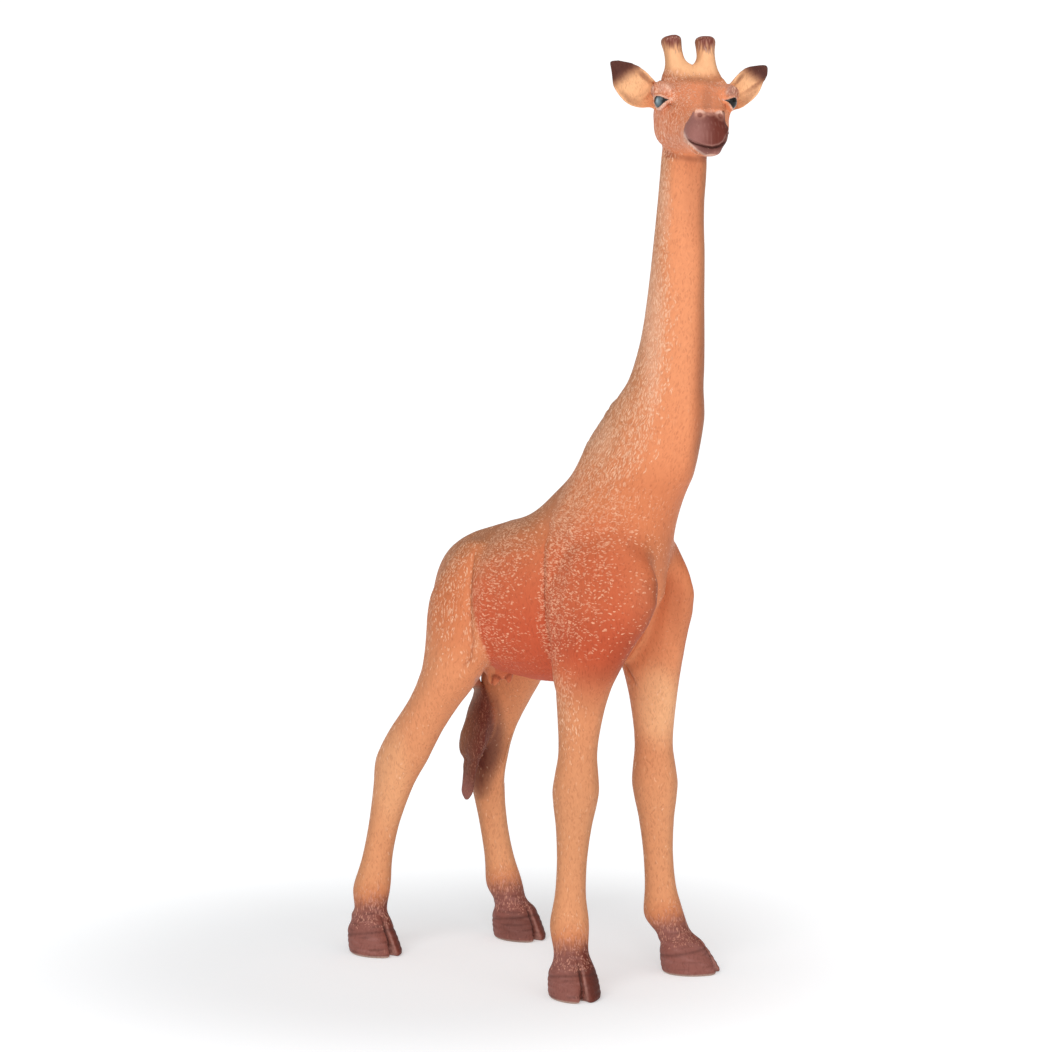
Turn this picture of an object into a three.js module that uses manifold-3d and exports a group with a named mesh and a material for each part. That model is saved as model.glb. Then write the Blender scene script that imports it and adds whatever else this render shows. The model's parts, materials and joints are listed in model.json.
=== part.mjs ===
// A moulded toy giraffe, standing with her head turned to her right.
// Millimetres, +X is the way the body faces, +Y its left side, +Z up, and the hooves stand on z = 0.
// Torso, neck, head, legs, hooves, tail, ears and horns are separate mouldings that plug into each other.
import * as THREE from "three";
import { mergeVertices, toCreasedNormals } from "three/addons/utils/BufferGeometryUtils.js";
import Module from "manifold-3d";

// Fits between the mouldings
const seamGap = 0.3;
const overrun = 60;

// Torso
const bodyLength = 56;
const bodyWidth = 24;
const bodyDepth = 34;
const bellyHeight = 54;
const udderLength = 8.4;
const udderWidth = 7.6;
const udderDrop = 3.4;
const teatLength = 3.4;
const teatWidth = 1.9;
const teatSpacing = 4.1;

// Neck
const neckLength = 79;
const neckDepth = 9.4;
const neckWidth = 7.6;
const neckFootDepth = 31;
const neckFootWidth = 18.8;
const collarTilt = 27;
const neckPegWidth = 7;
const neckPegLength = 9;
const maneThickness = 1.6;
const maneHeight = 1.5;
const maneStandOut = 0.35;
const maneTuftPitch = 3.1;

// Head, in its own frame: +X from the nape to the nose
const headLength = 27;
const headWidth = 13.6;
const headHeight = 14.2;
const headTurn = -37.5;
const headNod = 1;
const headLean = -3;
const browLength = 6;
const browWidth = 3.8;
const browHeight = 3.2;
const eyeDiameter = 2.9;
const cheekLength = 9.5;
const cheekWidth = 4.4;
const cheekHeight = 7.4;
const nostrilLength = 3.4;
const nostrilWidth = 2.8;
const nostrilHole = 1.1;
const lipGroove = 0.5;
const lipDepth = 0.6;

// Ears and horns
const earLength = 9.8;
const earWidth = 6.8;
const earWall = 1.2;
const earCup = 2.4;
const rightEarLift = 33;
const leftEarLift = 40;
const earSweep = 6;
const earPegWidth = 1.6;
const earPegLength = 2.8;
const hornLength = 7.7;
const hornWidth = 3.4;
const rightHornSplay = 12;
const leftHornSplay = -3;
const hornRake = 14;
const hornPegWidth = 1.8;
const hornPegLength = 3;

// Legs and hooves
const legWidth = 8.2;
const foreTrack = 26;
const hindTrack = 26;
const legPegWidth = 5;
const legPegLength = 2.2;
const hoofLength = 10.8;
const hoofWidth = 9.3;
const hoofHeight = 5.2;
const hoofPegWidth = 3.4;
const hoofPegLength = 2.4;
const cleftWidth = 1;
const cleftLength = 3.4;

// Tail
const tailLength = 22;
const tailWidth = 3;
const tuftLength = 22;
const tuftWidth = 8;
const tailPegWidth = 2;
const tailPegLength = 4;
const tuftPegWidth = 1.2;
const tuftPegLength = 2.4;

const creaseAngle = 42;
const skin = { color: 0xe08a5c, roughness: 0.62 };
const shank = { color: 0xe39a66, roughness: 0.62 };
const cream = { color: 0xecb27c, roughness: 0.62 };
const horn = { color: 0x6e453c, roughness: 0.5 };
const gloss = { color: 0x14100f, roughness: 0.08 };

// Along the body, rise of the centre, half depth and half width:
// shares of the body's length, depth, depth and width.
const torsoShares = [
  [-0.445, 0.36, 0.12, 0.09],
  [-0.42, 0.36, 0.22, 0.17],
  [-0.37, 0.365, 0.305, 0.29],
  [-0.27, 0.39, 0.365, 0.42],
  [-0.125, 0.42, 0.41, 0.49],
  [0.035, 0.465, 0.48, 0.51],
  [0.18, 0.51, 0.5, 0.49],
  [0.32, 0.565, 0.465, 0.41],
  [0.43, 0.64, 0.35, 0.2],
  [0.51, 0.71, 0.235, 0.15],
  [0.56, 0.75, 0.13, 0.1],
];
const torsoEggShare = 0.12;
const udderAlongShare = -0.185;
const udderRiseShare = 0.055;

// Height up the neck and forward reach of the centre, both shares of the neck's length,
// then half depth and half width, each a share of the foot's size and a share of the throat's size.
const neckShares = [
  [0, 0.022, 0.32, 0, 0.4, 0],
  [0.06, 0.005, 0.405, 0, 0.47, 0],
  [0.105, -0.001, 0.465, 0, 0.5, 0],
  [0.15, 0.019, 0.475, 0, 0.48, 0],
  [0.2, 0.048, 0.454, 0, 0.44, 0],
  [0.265, 0.088, 0.419, 0, 0.395, 0],
  [0.33, 0.125, 0.369, 0, 0.35, 0.02],
  [0.385, 0.151, 0.299, 0.1, 0.3, 0.07],
  [0.44, 0.175, 0.195, 0.2, 0.225, 0.18],
  [0.49, 0.189, 0.11, 0.39, 0.14, 0.33],
  [0.56, 0.201, 0.045, 0.51, 0.06, 0.48],
  [0.65, 0.209, 0.02, 0.52, 0.02, 0.53],
  [0.74, 0.216, 0, 0.54, 0, 0.54],
  [0.84, 0.221, 0, 0.48, 0, 0.485],
  [0.92, 0.229, 0, 0.47, 0, 0.48],
  [1, 0.235, 0, 0.46, 0, 0.47],
];
const neckFootShares = [0.3, 0.61];
const collarShares = [0.09, 0.295];
const maneStartShare = 0.16;

// Along the head, rise of the centre, half height and half width:
// shares of the head's length, height, height and width.
const headShares = [
  [0.0, 0.0, 0.17, 0.16],
  [0.035, 0.0, 0.32, 0.32],
  [0.13, -0.02, 0.445, 0.44],
  [0.24, -0.02, 0.495, 0.48],
  [0.37, -0.035, 0.475, 0.48],
  [0.48, -0.07, 0.425, 0.42],
  [0.59, -0.105, 0.36, 0.345],
  [0.7, -0.14, 0.31, 0.295],
  [0.81, -0.17, 0.285, 0.28],
  [0.91, -0.195, 0.27, 0.28],
  [0.97, -0.22, 0.215, 0.23],
  [1.0, -0.23, 0.09, 0.11],
];
const headEggShare = 0.06;
const napeShares = [-0.24, 0.066, 0.34];

// Places on the head as shares of its length, half width and half height.
const browShares = [0.385, 0.79, 0.52];
const eyeShares = [0.425, 0.8, 0.27];
const cheekShares = [0.3, 0.64, -0.36];
const nostrilShares = [0.87, 0.21, -0.05];
const earShares = [0.215, 0.88, 0.3];
const hornShares = [0.24, 0.37, 0.8];
const mouthShares = [0.84, -0.68];
const lipLengthShare = 0.4;

// Out from its middle and up: shares of an ossicone's half width and length.
const hornProfileShares = [
  [0, -0.1],
  [1.5, -0.1],
  [1.4, 0.08],
  [1.22, 0.2],
  [1.08, 0.34],
  [0.98, 0.5],
  [0.95, 0.68],
  [1.02, 0.8],
  [1.12, 0.9],
  [0.98, 0.97],
  [0.6, 1],
  [0, 1],
];

// An ear's outline is the part of an arch between these shares of it, and its curl and wall fade outwards.
const earArchShares = [0.14, 0.99];
const earArchPower = 0.92;
const earRoundPower = 0.85;
const earUncurlShare = 0.75;
const earThinShare = 0.75;

// Where each leg's joints lie: top of the shoulder or haunch, its middle, elbow or stifle, knee or hock,
// fetlock, then the coronet, which is on the hoof. Along the body, out from the middle and up,
// as shares of body length, track and the height of the leg's top.
const legShares = {
  right_fore: [
    [0.42, -0.22, 1.01],
    [0.43, -0.335, 0.855],
    [0.372, -0.4, 0.667],
    [0.359, -0.446, 0.44],
    [0.346, -0.477, 0.155],
    [0.386, -0.531],
  ],
  left_fore: [
    [0.32, 0.22, 1.01],
    [0.303, 0.335, 0.85],
    [0.32, 0.415, 0.655],
    [0.311, 0.469, 0.417],
    [0.332, 0.515, 0.131],
    [0.404, 0.562],
  ],
  right_hind: [
    [-0.165, -0.23, 1.0],
    [-0.192, -0.323, 0.861],
    [-0.217, -0.4, 0.696],
    [-0.432, -0.458, 0.468],
    [-0.546, -0.512, 0.161],
    [-0.534, -0.542],
  ],
  left_hind: [
    [-0.165, 0.23, 1.0],
    [-0.2, 0.323, 0.861],
    [-0.27, 0.392, 0.684],
    [-0.446, 0.462, 0.43],
    [-0.4, 0.515, 0.133],
    [-0.354, 0.542],
  ],
};
const foreTopShare = 0.882;
const hindTopShare = 0.735;
const turnShares = [3, 4.5];
const hoofTurns = { right_fore: -28, left_fore: 27, right_hind: -6, left_hind: -7 };

// Place in joints down the leg, then half depth and half width as shares of the leg's width.
const foreGirthShares = [
  [0, 0.5, 0.2],
  [0.35, 1.2, 0.42],
  [1, 1.54, 0.58],
  [1.5, 1.14, 0.58],
  [2, 0.7, 0.52],
  [2.4, 0.5, 0.45],
  [2.7, 0.44, 0.415],
  [3, 0.54, 0.5],
  [3.25, 0.41, 0.4],
  [3.5, 0.335, 0.33],
  [3.75, 0.35, 0.34],
  [3.92, 0.42, 0.41],
  [4.1, 0.46, 0.43],
  [4.6, 0.38, 0.38],
  [5, 0.47, 0.46],
];
const hindGirthShares = [
  [0, 0.35, 0.2],
  [0.3, 0.66, 0.4],
  [1, 0.92, 0.58],
  [1.5, 0.93, 0.6],
  [2, 0.81, 0.56],
  [2.4, 0.66, 0.5],
  [2.7, 0.69, 0.45],
  [3, 0.71, 0.415],
  [3.2, 0.53, 0.37],
  [3.5, 0.365, 0.325],
  [3.75, 0.365, 0.33],
  [3.92, 0.43, 0.38],
  [4.1, 0.46, 0.4],
  [4.6, 0.375, 0.355],
  [5, 0.5, 0.48],
];

// Height, forward reach of the centre, half length and half width of a hoof:
// shares of its height, length, length and width.
const hoofShares = [
  [0, 0.13, 0.49, 0.475],
  [0.12, 0.125, 0.5, 0.5],
  [0.55, 0.045, 0.455, 0.49],
  [0.85, -0.005, 0.405, 0.465],
  [1, -0.03, 0.36, 0.42],
];
const hoofEggShare = 0.1;
const cleftReachShare = 0.65;

// The tail's centre back, out to the left and down from its root, as shares of the tail's length,
// with the half thickness as a share of the tail's width.
const tailRootShares = [-0.405, 0.503];
const tailShares = [
  [0, 0, 0, 0.35],
  [0.077, 0, 0.107, 0.62],
  [0.127, 0.022, 0.357, 0.55],
  [0.135, 0.087, 0.607, 0.45],
  [0.08, 0.17, 0.787, 0.42],
  [-0.02, 0.225, 1, 0.45],
];

// The tuft's centre down and forward, and its half depth: shares of its length, width and width.
const tuftShares = [
  [0, 0.0, 0.2],
  [0.1, 0.06, 0.34],
  [0.3, 0.1, 0.5],
  [0.5, 0.1, 0.5],
  [0.68, 0.02, 0.36],
  [0.85, -0.12, 0.22],
  [1, -0.2, 0.1],
];
const tuftFlatShare = 0.65;

const wasm = await Module();
wasm.setup();

const X = new THREE.Vector3(1, 0, 0);
const Y = new THREE.Vector3(0, 1, 0);
const Z = new THREE.Vector3(0, 0, 1);
const rad = THREE.MathUtils.degToRad;

// A geometry as a solid that can be joined and cut.
function toSolid(geometry) {
  const bare = geometry.clone();
  bare.deleteAttribute("normal");
  bare.deleteAttribute("uv");
  const merged = mergeVertices(bare);
  return new wasm.Manifold(
    new wasm.Mesh({
      numProp: 3,
      vertProperties: merged.attributes.position.array,
      triVerts: merged.index.array,
    }),
  );
}

// A solid as a geometry, smooth over its curves and crisp at its edges.
function toGeometry(solid) {
  const made = solid.getMesh();
  const geometry = new THREE.BufferGeometry();
  geometry.setAttribute("position", new THREE.BufferAttribute(made.vertProperties, 3));
  geometry.setIndex(new THREE.BufferAttribute(made.triVerts, 1));
  return toCreasedNormals(geometry, rad(creaseAngle));
}

function toMesh(name, solid, finish) {
  const material = new THREE.MeshStandardMaterial({ metalness: 0, ...finish });
  const mesh = new THREE.Mesh(toGeometry(solid), material);
  mesh.name = name;
  return mesh;
}

// A closed body through oval sections. A row holds one section's centre, half sizes and turn,
// egg narrows the sections on their deep side, and grow makes the whole body larger on every side.
function loft(rows, { across, deep, sides, steps, egg = 0, grow = 0 }) {
  const axis = new THREE.Vector3().crossVectors(across, deep);
  const centres = new THREE.CatmullRomCurve3(rows.map((row) => row.centre), false, "catmullrom");
  const sizes = new THREE.CatmullRomCurve3(
    rows.map((row) => new THREE.Vector3(row.halfAcross, row.halfDeep, row.turn ?? 0)),
    false,
    "catmullrom",
  );
  const way = Math.sign(rows[rows.length - 1].centre.clone().sub(rows[0].centre).dot(axis));
  const points = [];
  for (let step = 0; step <= steps; step++) {
    const centre = centres.getPoint(step / steps);
    const size = sizes.getPoint(step / steps);
    if (step === 0) centre.addScaledVector(axis, -way * grow);
    if (step === steps) centre.addScaledVector(axis, way * grow);
    const out = across.clone().applyAxisAngle(axis, size.z);
    const up = deep.clone().applyAxisAngle(axis, size.z);
    for (let side = 0; side < sides; side++) {
      const angle = (2 * Math.PI * side) / sides;
      const narrow = 1 - egg * Math.sin(angle);
      points.push(
        centre
          .clone()
          .addScaledVector(out, (size.x + grow) * Math.cos(angle) * narrow)
          .addScaledVector(up, (size.y + grow) * Math.sin(angle)),
      );
    }
  }
  const endCentre = (step) =>
    points
      .slice(step * sides, (step + 1) * sides)
      .reduce((sum, point) => sum.add(point), new THREE.Vector3())
      .divideScalar(sides);
  const first = points.push(endCentre(0)) - 1;
  const last = points.push(endCentre(steps)) - 1;
  const faces = [];
  for (let side = 0; side < sides; side++) {
    const next = (side + 1) % sides;
    faces.push([first, next, side], [last, steps * sides + side, steps * sides + next]);
    for (let step = 0; step < steps; step++) {
      const a = step * sides + side;
      const b = step * sides + next;
      faces.push([a, b, b + sides], [a, b + sides, a + sides]);
    }
  }
  const geometry = new THREE.BufferGeometry().setFromPoints(points);
  geometry.setIndex(faces.flatMap((face) => (way > 0 ? face : face.reverse())));
  return toSolid(geometry);
}

function ellipsoid(centre, length, width, height) {
  const ball = new THREE.SphereGeometry(1, 12, 8);
  ball.applyMatrix4(new THREE.Matrix4().makeScale(length / 2, width / 2, height / 2));
  ball.translate(centre.x, centre.y, centre.z);
  return toSolid(ball);
}

// A round peg that starts at a point and runs along a direction.
function peg(start, direction, width, length, grow = 0) {
  const bar = new THREE.CylinderGeometry(width / 2 + grow, width / 2 + grow, length + grow, 10);
  bar.translate(0, (length + grow) / 2, 0);
  bar.applyQuaternion(new THREE.Quaternion().setFromUnitVectors(Y, direction.clone().normalize()));
  bar.translate(start.x, start.y, start.z);
  return toSolid(bar);
}

// Everything on one side of a sloping plane, as a block that other solids are cut with.
function halfSpace(point, normal, gap) {
  const block = new THREE.BoxGeometry(2 * overrun, 2 * overrun, 2 * overrun);
  block.translate(0, 0, overrun + gap);
  block.applyQuaternion(new THREE.Quaternion().setFromUnitVectors(Z, normal));
  block.translate(point.x, point.y, point.z);
  return toSolid(block);
}

// A place in the middle plane from shares of the body's length and depth.
function onBody([along, up]) {
  return new THREE.Vector3(along * bodyLength, 0, bellyHeight + up * bodyDepth);
}

function barrel() {
  const rows = torsoShares.map(([along, rise, halfDeep, halfWide]) => ({
    centre: onBody([along, rise]),
    halfAcross: halfWide * bodyWidth,
    halfDeep: halfDeep * bodyDepth,
  }));
  return loft(rows, { across: Y, deep: Z, sides: 24, steps: 20, egg: torsoEggShare });
}

// A place in the middle plane from shares of the neck's length, forward and up from its foot.
function onNeck([forward, up]) {
  return onBody(neckFootShares).add(new THREE.Vector3(forward * neckLength, 0, up * neckLength));
}

function neckRows() {
  return neckShares.map(([up, forward, footDeep, throatDeep, footWide, throatWide]) => ({
    centre: onNeck([forward, up]),
    halfAcross: footWide * neckFootWidth + throatWide * neckWidth,
    halfDeep: footDeep * neckFootDepth + throatDeep * neckDepth,
  }));
}

function neckTube(grow = 0) {
  return loft(neckRows(), { across: Y, deep: X, sides: 18, steps: 26, grow });
}

// The short upright mane: a thin ridge of tufts down the back of the neck.
function mane() {
  const rows = neckRows();
  const centres = new THREE.CatmullRomCurve3(rows.map((row) => row.centre), false, "catmullrom");
  const backs = new THREE.CatmullRomCurve3(
    rows.map((row) => new THREE.Vector3(row.halfDeep, 0, 0)),
    false,
    "catmullrom",
  );
  const tufts = Math.round(neckLength / maneTuftPitch);
  const ridge = [];
  for (let step = Math.ceil(2 * tufts * maneStartShare); step < 2 * tufts; step++) {
    const share = step / (2 * tufts);
    const centre = centres.getPoint(share);
    centre.x -= backs.getPoint(share).x - maneHeight / 2 + (step % 2) * maneStandOut;
    ridge.push({ centre, halfAcross: maneThickness / 2, halfDeep: maneHeight / 2 });
  }
  return loft(ridge, { across: Y, deep: X, sides: 6, steps: ridge.length - 1 });
}

// The plane where the neck's moulding meets the torso's.
const collar = onNeck(collarShares);
const collarUp = Z.clone().applyAxisAngle(Y, rad(collarTilt));

function neckPeg(grow = 0) {
  const start = collar.clone().addScaledVector(collarUp, seamGap);
  return peg(start, collarUp.clone().negate(), neckPegWidth, seamGap + neckPegLength, grow);
}

function neck() {
  return neckTube().add(mane()).intersect(halfSpace(collar, collarUp, seamGap)).add(neckPeg());
}

function legRows(name) {
  const fore = name.endsWith("fore");
  const top = onBody([0, fore ? foreTopShare : hindTopShare]).z;
  const track = fore ? foreTrack : hindTrack;
  const places = legShares[name].map(([along, out, up]) => {
    const height = up === undefined ? hoofHeight + seamGap : up * top;
    return new THREE.Vector3(along * bodyLength, out * track, height);
  });
  const joints = new THREE.CatmullRomCurve3(places, false, "catmullrom");
  return (fore ? foreGirthShares : hindGirthShares).map(([joint, halfDeep, halfWide]) => ({
    centre: joints.getPoint(joint / (places.length - 1)),
    halfAcross: halfWide * legWidth,
    halfDeep: halfDeep * legWidth,
    turn: -rad(hoofTurns[name]) * THREE.MathUtils.smoothstep(joint, ...turnShares),
  }));
}

function legTube(name, grow = 0) {
  return loft(legRows(name), { across: Y, deep: X, sides: 14, steps: 28, grow });
}

// The peg that runs from the middle of a shoulder or haunch towards the middle of the torso.
function legPeg(name, grow = 0) {
  const [, , { centre, halfAcross }] = legRows(name);
  const inwards = new THREE.Vector3(0, -Math.sign(centre.y), 0);
  return peg(centre, inwards, legPegWidth, halfAcross + legPegLength, grow);
}

// The spigot under a leg's coronet, and the hoof's socket for it.
function hoofPeg(name, grow = 0) {
  const start = legRows(name).at(-1).centre.addScaledVector(Z, seamGap);
  return peg(start, Z.clone().negate(), hoofPegWidth, seamGap + hoofPegLength, grow);
}

function leg(name) {
  return legTube(name).add(legPeg(name)).add(hoofPeg(name));
}

function hoof(name) {
  const rows = hoofShares.map(([up, forward, halfLong, halfWide]) => ({
    centre: new THREE.Vector3(forward * hoofLength, 0, up * hoofHeight),
    halfAcross: halfWide * hoofWidth,
    halfDeep: halfLong * hoofLength,
  }));
  const block = loft(rows, { across: Y, deep: X, sides: 18, steps: 5, egg: hoofEggShare });
  const toe = hoofLength * cleftReachShare;
  const cleft = new THREE.Shape();
  cleft.moveTo(toe, cleftWidth);
  cleft.lineTo(toe - cleftLength, 0);
  cleft.lineTo(toe, -cleftWidth);
  const wedge = new THREE.ExtrudeGeometry(cleft, { depth: 2 * hoofHeight, bevelEnabled: false });
  wedge.translate(0, 0, -hoofHeight / 2);
  const { centre } = legRows(name).at(-1);
  const socket = hoofPeg(name, seamGap)
    .translate([-centre.x, -centre.y, 0])
    .rotate([0, 0, -hoofTurns[name]]);
  return block.subtract(toSolid(wedge)).subtract(socket);
}

function tailRows() {
  return tailShares.map(([back, out, down, half]) => ({
    centre: onBody(tailRootShares).add(new THREE.Vector3(-back, out, -down).multiplyScalar(tailLength)),
    halfAcross: half * tailWidth,
    halfDeep: half * tailWidth,
  }));
}

function tailStem(grow = 0) {
  return loft(tailRows(), { across: Y, deep: X, sides: 8, steps: 12, grow });
}

function tailPeg(grow = 0) {
  return peg(tailRows()[1].centre, X, tailPegWidth, tailPegLength, grow);
}

// The spigot under the tail's stem, and the tuft's socket for it.
function tuftPeg(grow = 0) {
  const start = tailRows().at(-1).centre.addScaledVector(Z, seamGap);
  return peg(start, Z.clone().negate(), tuftPegWidth, 2 * seamGap + tuftPegLength, grow);
}

// The tuft hangs from the end of the stem and lies against the left hind leg.
function tuft() {
  const { centre } = tailRows().at(-1);
  const rows = tuftShares.map(([down, forward, half]) => ({
    centre: centre.clone().add(new THREE.Vector3(forward * tuftWidth, 0, -seamGap - down * tuftLength)),
    halfAcross: half * tuftWidth * tuftFlatShare,
    halfDeep: half * tuftWidth,
  }));
  const made = loft(rows, { across: Y, deep: X, sides: 12, steps: 12 });
  return made.subtract(legTube("left_hind", seamGap)).subtract(tuftPeg(seamGap));
}

function udder() {
  const centre = onBody([udderAlongShare, udderRiseShare]);
  let made = ellipsoid(centre, udderLength, udderWidth, 2 * udderDrop);
  for (const side of [-1, 1]) {
    const drop = new THREE.Vector3(0, (side * teatSpacing) / 2, teatWidth / 2 - udderDrop);
    const tip = centre.clone().add(drop);
    made = made.add(ellipsoid(tip, teatWidth, teatWidth, teatLength));
  }
  return made;
}

// The barrel, the foot of the neck and the udder, with sockets for the legs, neck and tail.
function torso() {
  const neckFoot = neckTube().subtract(halfSpace(collar, collarUp, 0));
  let made = barrel().add(neckFoot).add(udder());
  for (const name of Object.keys(legShares)) {
    made = made.subtract(legTube(name, seamGap)).subtract(legPeg(name, seamGap));
  }
  return made.subtract(neckPeg(seamGap)).subtract(tailStem(seamGap)).subtract(tailPeg(seamGap));
}

// A place on the head from shares of its length, half width and half height.
function onHead([along, out, up], side = 1) {
  return new THREE.Vector3(along * headLength, (side * out * headWidth) / 2, (up * headHeight) / 2);
}

// A swelling on one side of the head, such as a brow.
function bulge(shares, side, sizes, grow) {
  return ellipsoid(onHead(shares, side), ...sizes.map((size) => size + 2 * grow));
}

function skull(grow = 0) {
  const rows = headShares.map(([along, rise, halfDeep, halfWide]) => ({
    centre: new THREE.Vector3(along * headLength, 0, rise * headHeight),
    halfAcross: halfWide * headWidth,
    halfDeep: halfDeep * headHeight,
  }));
  let made = loft(rows, { across: Y, deep: Z, sides: 20, steps: 20, egg: headEggShare, grow });
  for (const side of [-1, 1]) {
    made = made
      .add(bulge(browShares, side, [browLength, browWidth, browHeight], grow))
      .add(bulge(cheekShares, side, [cheekLength, cheekWidth, cheekHeight], grow))
      .add(bulge(nostrilShares, side, [nostrilLength, nostrilWidth, nostrilWidth], grow));
  }
  return made;
}

// A nostril opens forwards and outwards at the front of its swelling.
function nostril(side) {
  const way = new THREE.Vector3(nostrilLength, side * nostrilWidth, nostrilWidth).divideScalar(3);
  return ellipsoid(onHead(nostrilShares, side).add(way), 2 * nostrilHole, nostrilHole, nostrilHole);
}

// The direction of an ear or a horn on one side of the head.
function earWay(side) {
  const lift = rad(side < 0 ? rightEarLift : leftEarLift);
  const out = Math.cos(lift);
  return new THREE.Vector3(-out * Math.sin(rad(earSweep)), side * out, Math.sin(lift)).normalize();
}

function hornWay(side) {
  const splay = rad(side < 0 ? rightHornSplay : leftHornSplay);
  return new THREE.Vector3(-Math.tan(rad(hornRake)), side * Math.tan(splay), 1).normalize();
}

function earPeg(side, grow = 0) {
  const start = onHead(earShares, side).addScaledVector(earWay(side), earPegLength / 2);
  return peg(start, earWay(side).negate(), earPegWidth, earPegLength, grow);
}

function hornPeg(side, grow = 0) {
  const start = onHead(hornShares, side).addScaledVector(hornWay(side), hornPegLength / 2);
  return peg(start, hornWay(side).negate(), hornPegWidth, hornPegLength, grow);
}

// How far an ear reaches to each side of its spine, a share of its half width at a share of its length.
function earHalf(share) {
  const arch = Math.pow(THREE.MathUtils.lerp(...earArchShares, share), earArchPower);
  return (earWidth / 2) * Math.pow(Math.sin(Math.PI * arch), earRoundPower);
}

// A leaf-shaped shell round a spine that runs on from the peg, curled up at its sides to open forwards.
function ear(side) {
  const rise = 10;
  const round = 8;
  const points = [];
  const faces = [];
  for (const back of [0, 1]) {
    for (let row = 0; row <= rise; row++) {
      const share = row / rise;
      const curl = earCup * (1 - earUncurlShare * share);
      for (let column = 0; column <= round; column++) {
        const swing = (2 * column) / round - 1;
        const depth = curl * swing * swing - back * earWall * (1 - earThinShare * swing * swing);
        points.push(new THREE.Vector3(depth, swing * earHalf(share), share * earLength));
      }
    }
  }
  const width = round + 1;
  const sheet = width * (rise + 1);
  const quad = (a, b, c, d) => faces.push(a, b, c, a, c, d);
  for (let row = 0; row < rise; row++) {
    for (let column = 0; column < round; column++) {
      const a = row * width + column;
      quad(a, a + 1, a + 1 + width, a + width);
      quad(sheet + a + width, sheet + a + 1 + width, sheet + a + 1, sheet + a);
    }
    const left = row * width;
    const right = left + round;
    quad(left, left + width, sheet + left + width, sheet + left);
    quad(right, sheet + right, sheet + right + width, right + width);
  }
  for (let column = 0; column < round; column++) {
    const top = rise * width + column;
    quad(column, sheet + column, sheet + column + 1, column + 1);
    quad(top, top + 1, sheet + top + 1, sheet + top);
  }
  const geometry = new THREE.BufferGeometry().setFromPoints(points);
  geometry.setIndex(faces);
  const way = earWay(side);
  const across = new THREE.Vector3().crossVectors(way, X).normalize();
  const open = new THREE.Vector3().crossVectors(across, way);
  geometry.translate(earWall / 2, 0, 0);
  geometry.applyMatrix4(new THREE.Matrix4().makeBasis(open, across, way));
  const start = onHead(earShares, side);
  geometry.translate(start.x, start.y, start.z);
  return toSolid(geometry);
}

// A blunt horn with a wide foot and a knob at the top.
function hornStem(side) {
  const profile = hornProfileShares.map(
    ([out, up]) => new THREE.Vector2((out * hornWidth) / 2, up * hornLength),
  );
  const stem = new THREE.LatheGeometry(profile, 12);
  stem.rotateX(Math.PI / 2);
  stem.applyQuaternion(new THREE.Quaternion().setFromUnitVectors(Z, hornWay(side)));
  const start = onHead(hornShares, side);
  stem.translate(start.x, start.y, start.z);
  return toSolid(stem);
}

function eye(side, grow = 0) {
  const size = eyeDiameter + 2 * grow;
  return ellipsoid(onHead(eyeShares, side), size, size, size);
}

// The lips part along a shallow groove round the front of the muzzle.
function mouth() {
  const middle = onHead([mouthShares[0], 0, mouthShares[1]]);
  const reach = headLength * lipLengthShare;
  const groove = new THREE.BoxGeometry(reach, 2 * headWidth, lipGroove);
  groove.translate(middle.x + reach / 2, middle.y, middle.z);
  const behindLips = skull(-lipDepth);
  return toSolid(groove).subtract(behindLips);
}

// The head turns and tips about its nape, which sits over the top of the neck.
const headGroup = new THREE.Group();
headGroup.rotation.set(rad(headLean), rad(headNod), rad(headTurn), "ZYX");
const headSize = new THREE.Vector3(headLength, headWidth, headHeight);
const napeOffset = headSize.multiply(new THREE.Vector3(...napeShares));
headGroup.position.addVectors(neckRows().at(-1).centre, napeOffset.applyAxisAngle(Z, rad(headTurn)));
headGroup.updateMatrix();

function head() {
  const throat = neckTube(seamGap).transform(headGroup.matrix.clone().invert().elements);
  let made = skull().subtract(mouth()).subtract(throat);
  for (const side of [-1, 1]) {
    made = made
      .subtract(nostril(side))
      .subtract(eye(side, seamGap))
      .subtract(earPeg(side, seamGap))
      .subtract(hornPeg(side, seamGap));
  }
  return made;
}

const figure = new THREE.Group();
figure.add(toMesh("torso", torso(), skin));
figure.add(toMesh("neck", neck(), skin));
figure.add(toMesh("tail", tailStem().add(tailPeg()).add(tuftPeg()), shank));
figure.add(toMesh("tail_tuft", tuft(), horn));
for (const name of Object.keys(legShares)) {
  figure.add(toMesh(`${name}_leg`, leg(name), shank));
  const { centre } = legRows(name).at(-1);
  const foot = toMesh(`${name}_hoof`, hoof(name), horn);
  foot.position.set(centre.x, centre.y, 0);
  foot.rotation.z = rad(hoofTurns[name]);
  figure.add(foot);
}

headGroup.add(toMesh("head", head(), skin));
const outsideHead = skull(seamGap);
for (const [hand, side] of [["right", -1], ["left", 1]]) {
  headGroup.add(toMesh(`${hand}_eye`, eye(side), gloss));
  headGroup.add(toMesh(`${hand}_ear`, ear(side).subtract(outsideHead).add(earPeg(side)), cream));
  headGroup.add(toMesh(`${hand}_ossicone`, hornStem(side).subtract(outsideHead).add(hornPeg(side)), cream));
}
figure.add(headGroup);

// The origin is on the floor, under the middle of the figure.
const outline = new THREE.Box3().setFromObject(figure, true);
const middle = outline.getCenter(new THREE.Vector3());
figure.position.set(-middle.x, -middle.y, -outline.min.z);

export default figure;
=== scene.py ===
import json
import math
from contextlib import contextmanager

import bpy
import numpy as np
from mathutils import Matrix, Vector
from mathutils.bvhtree import BVHTree


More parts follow.
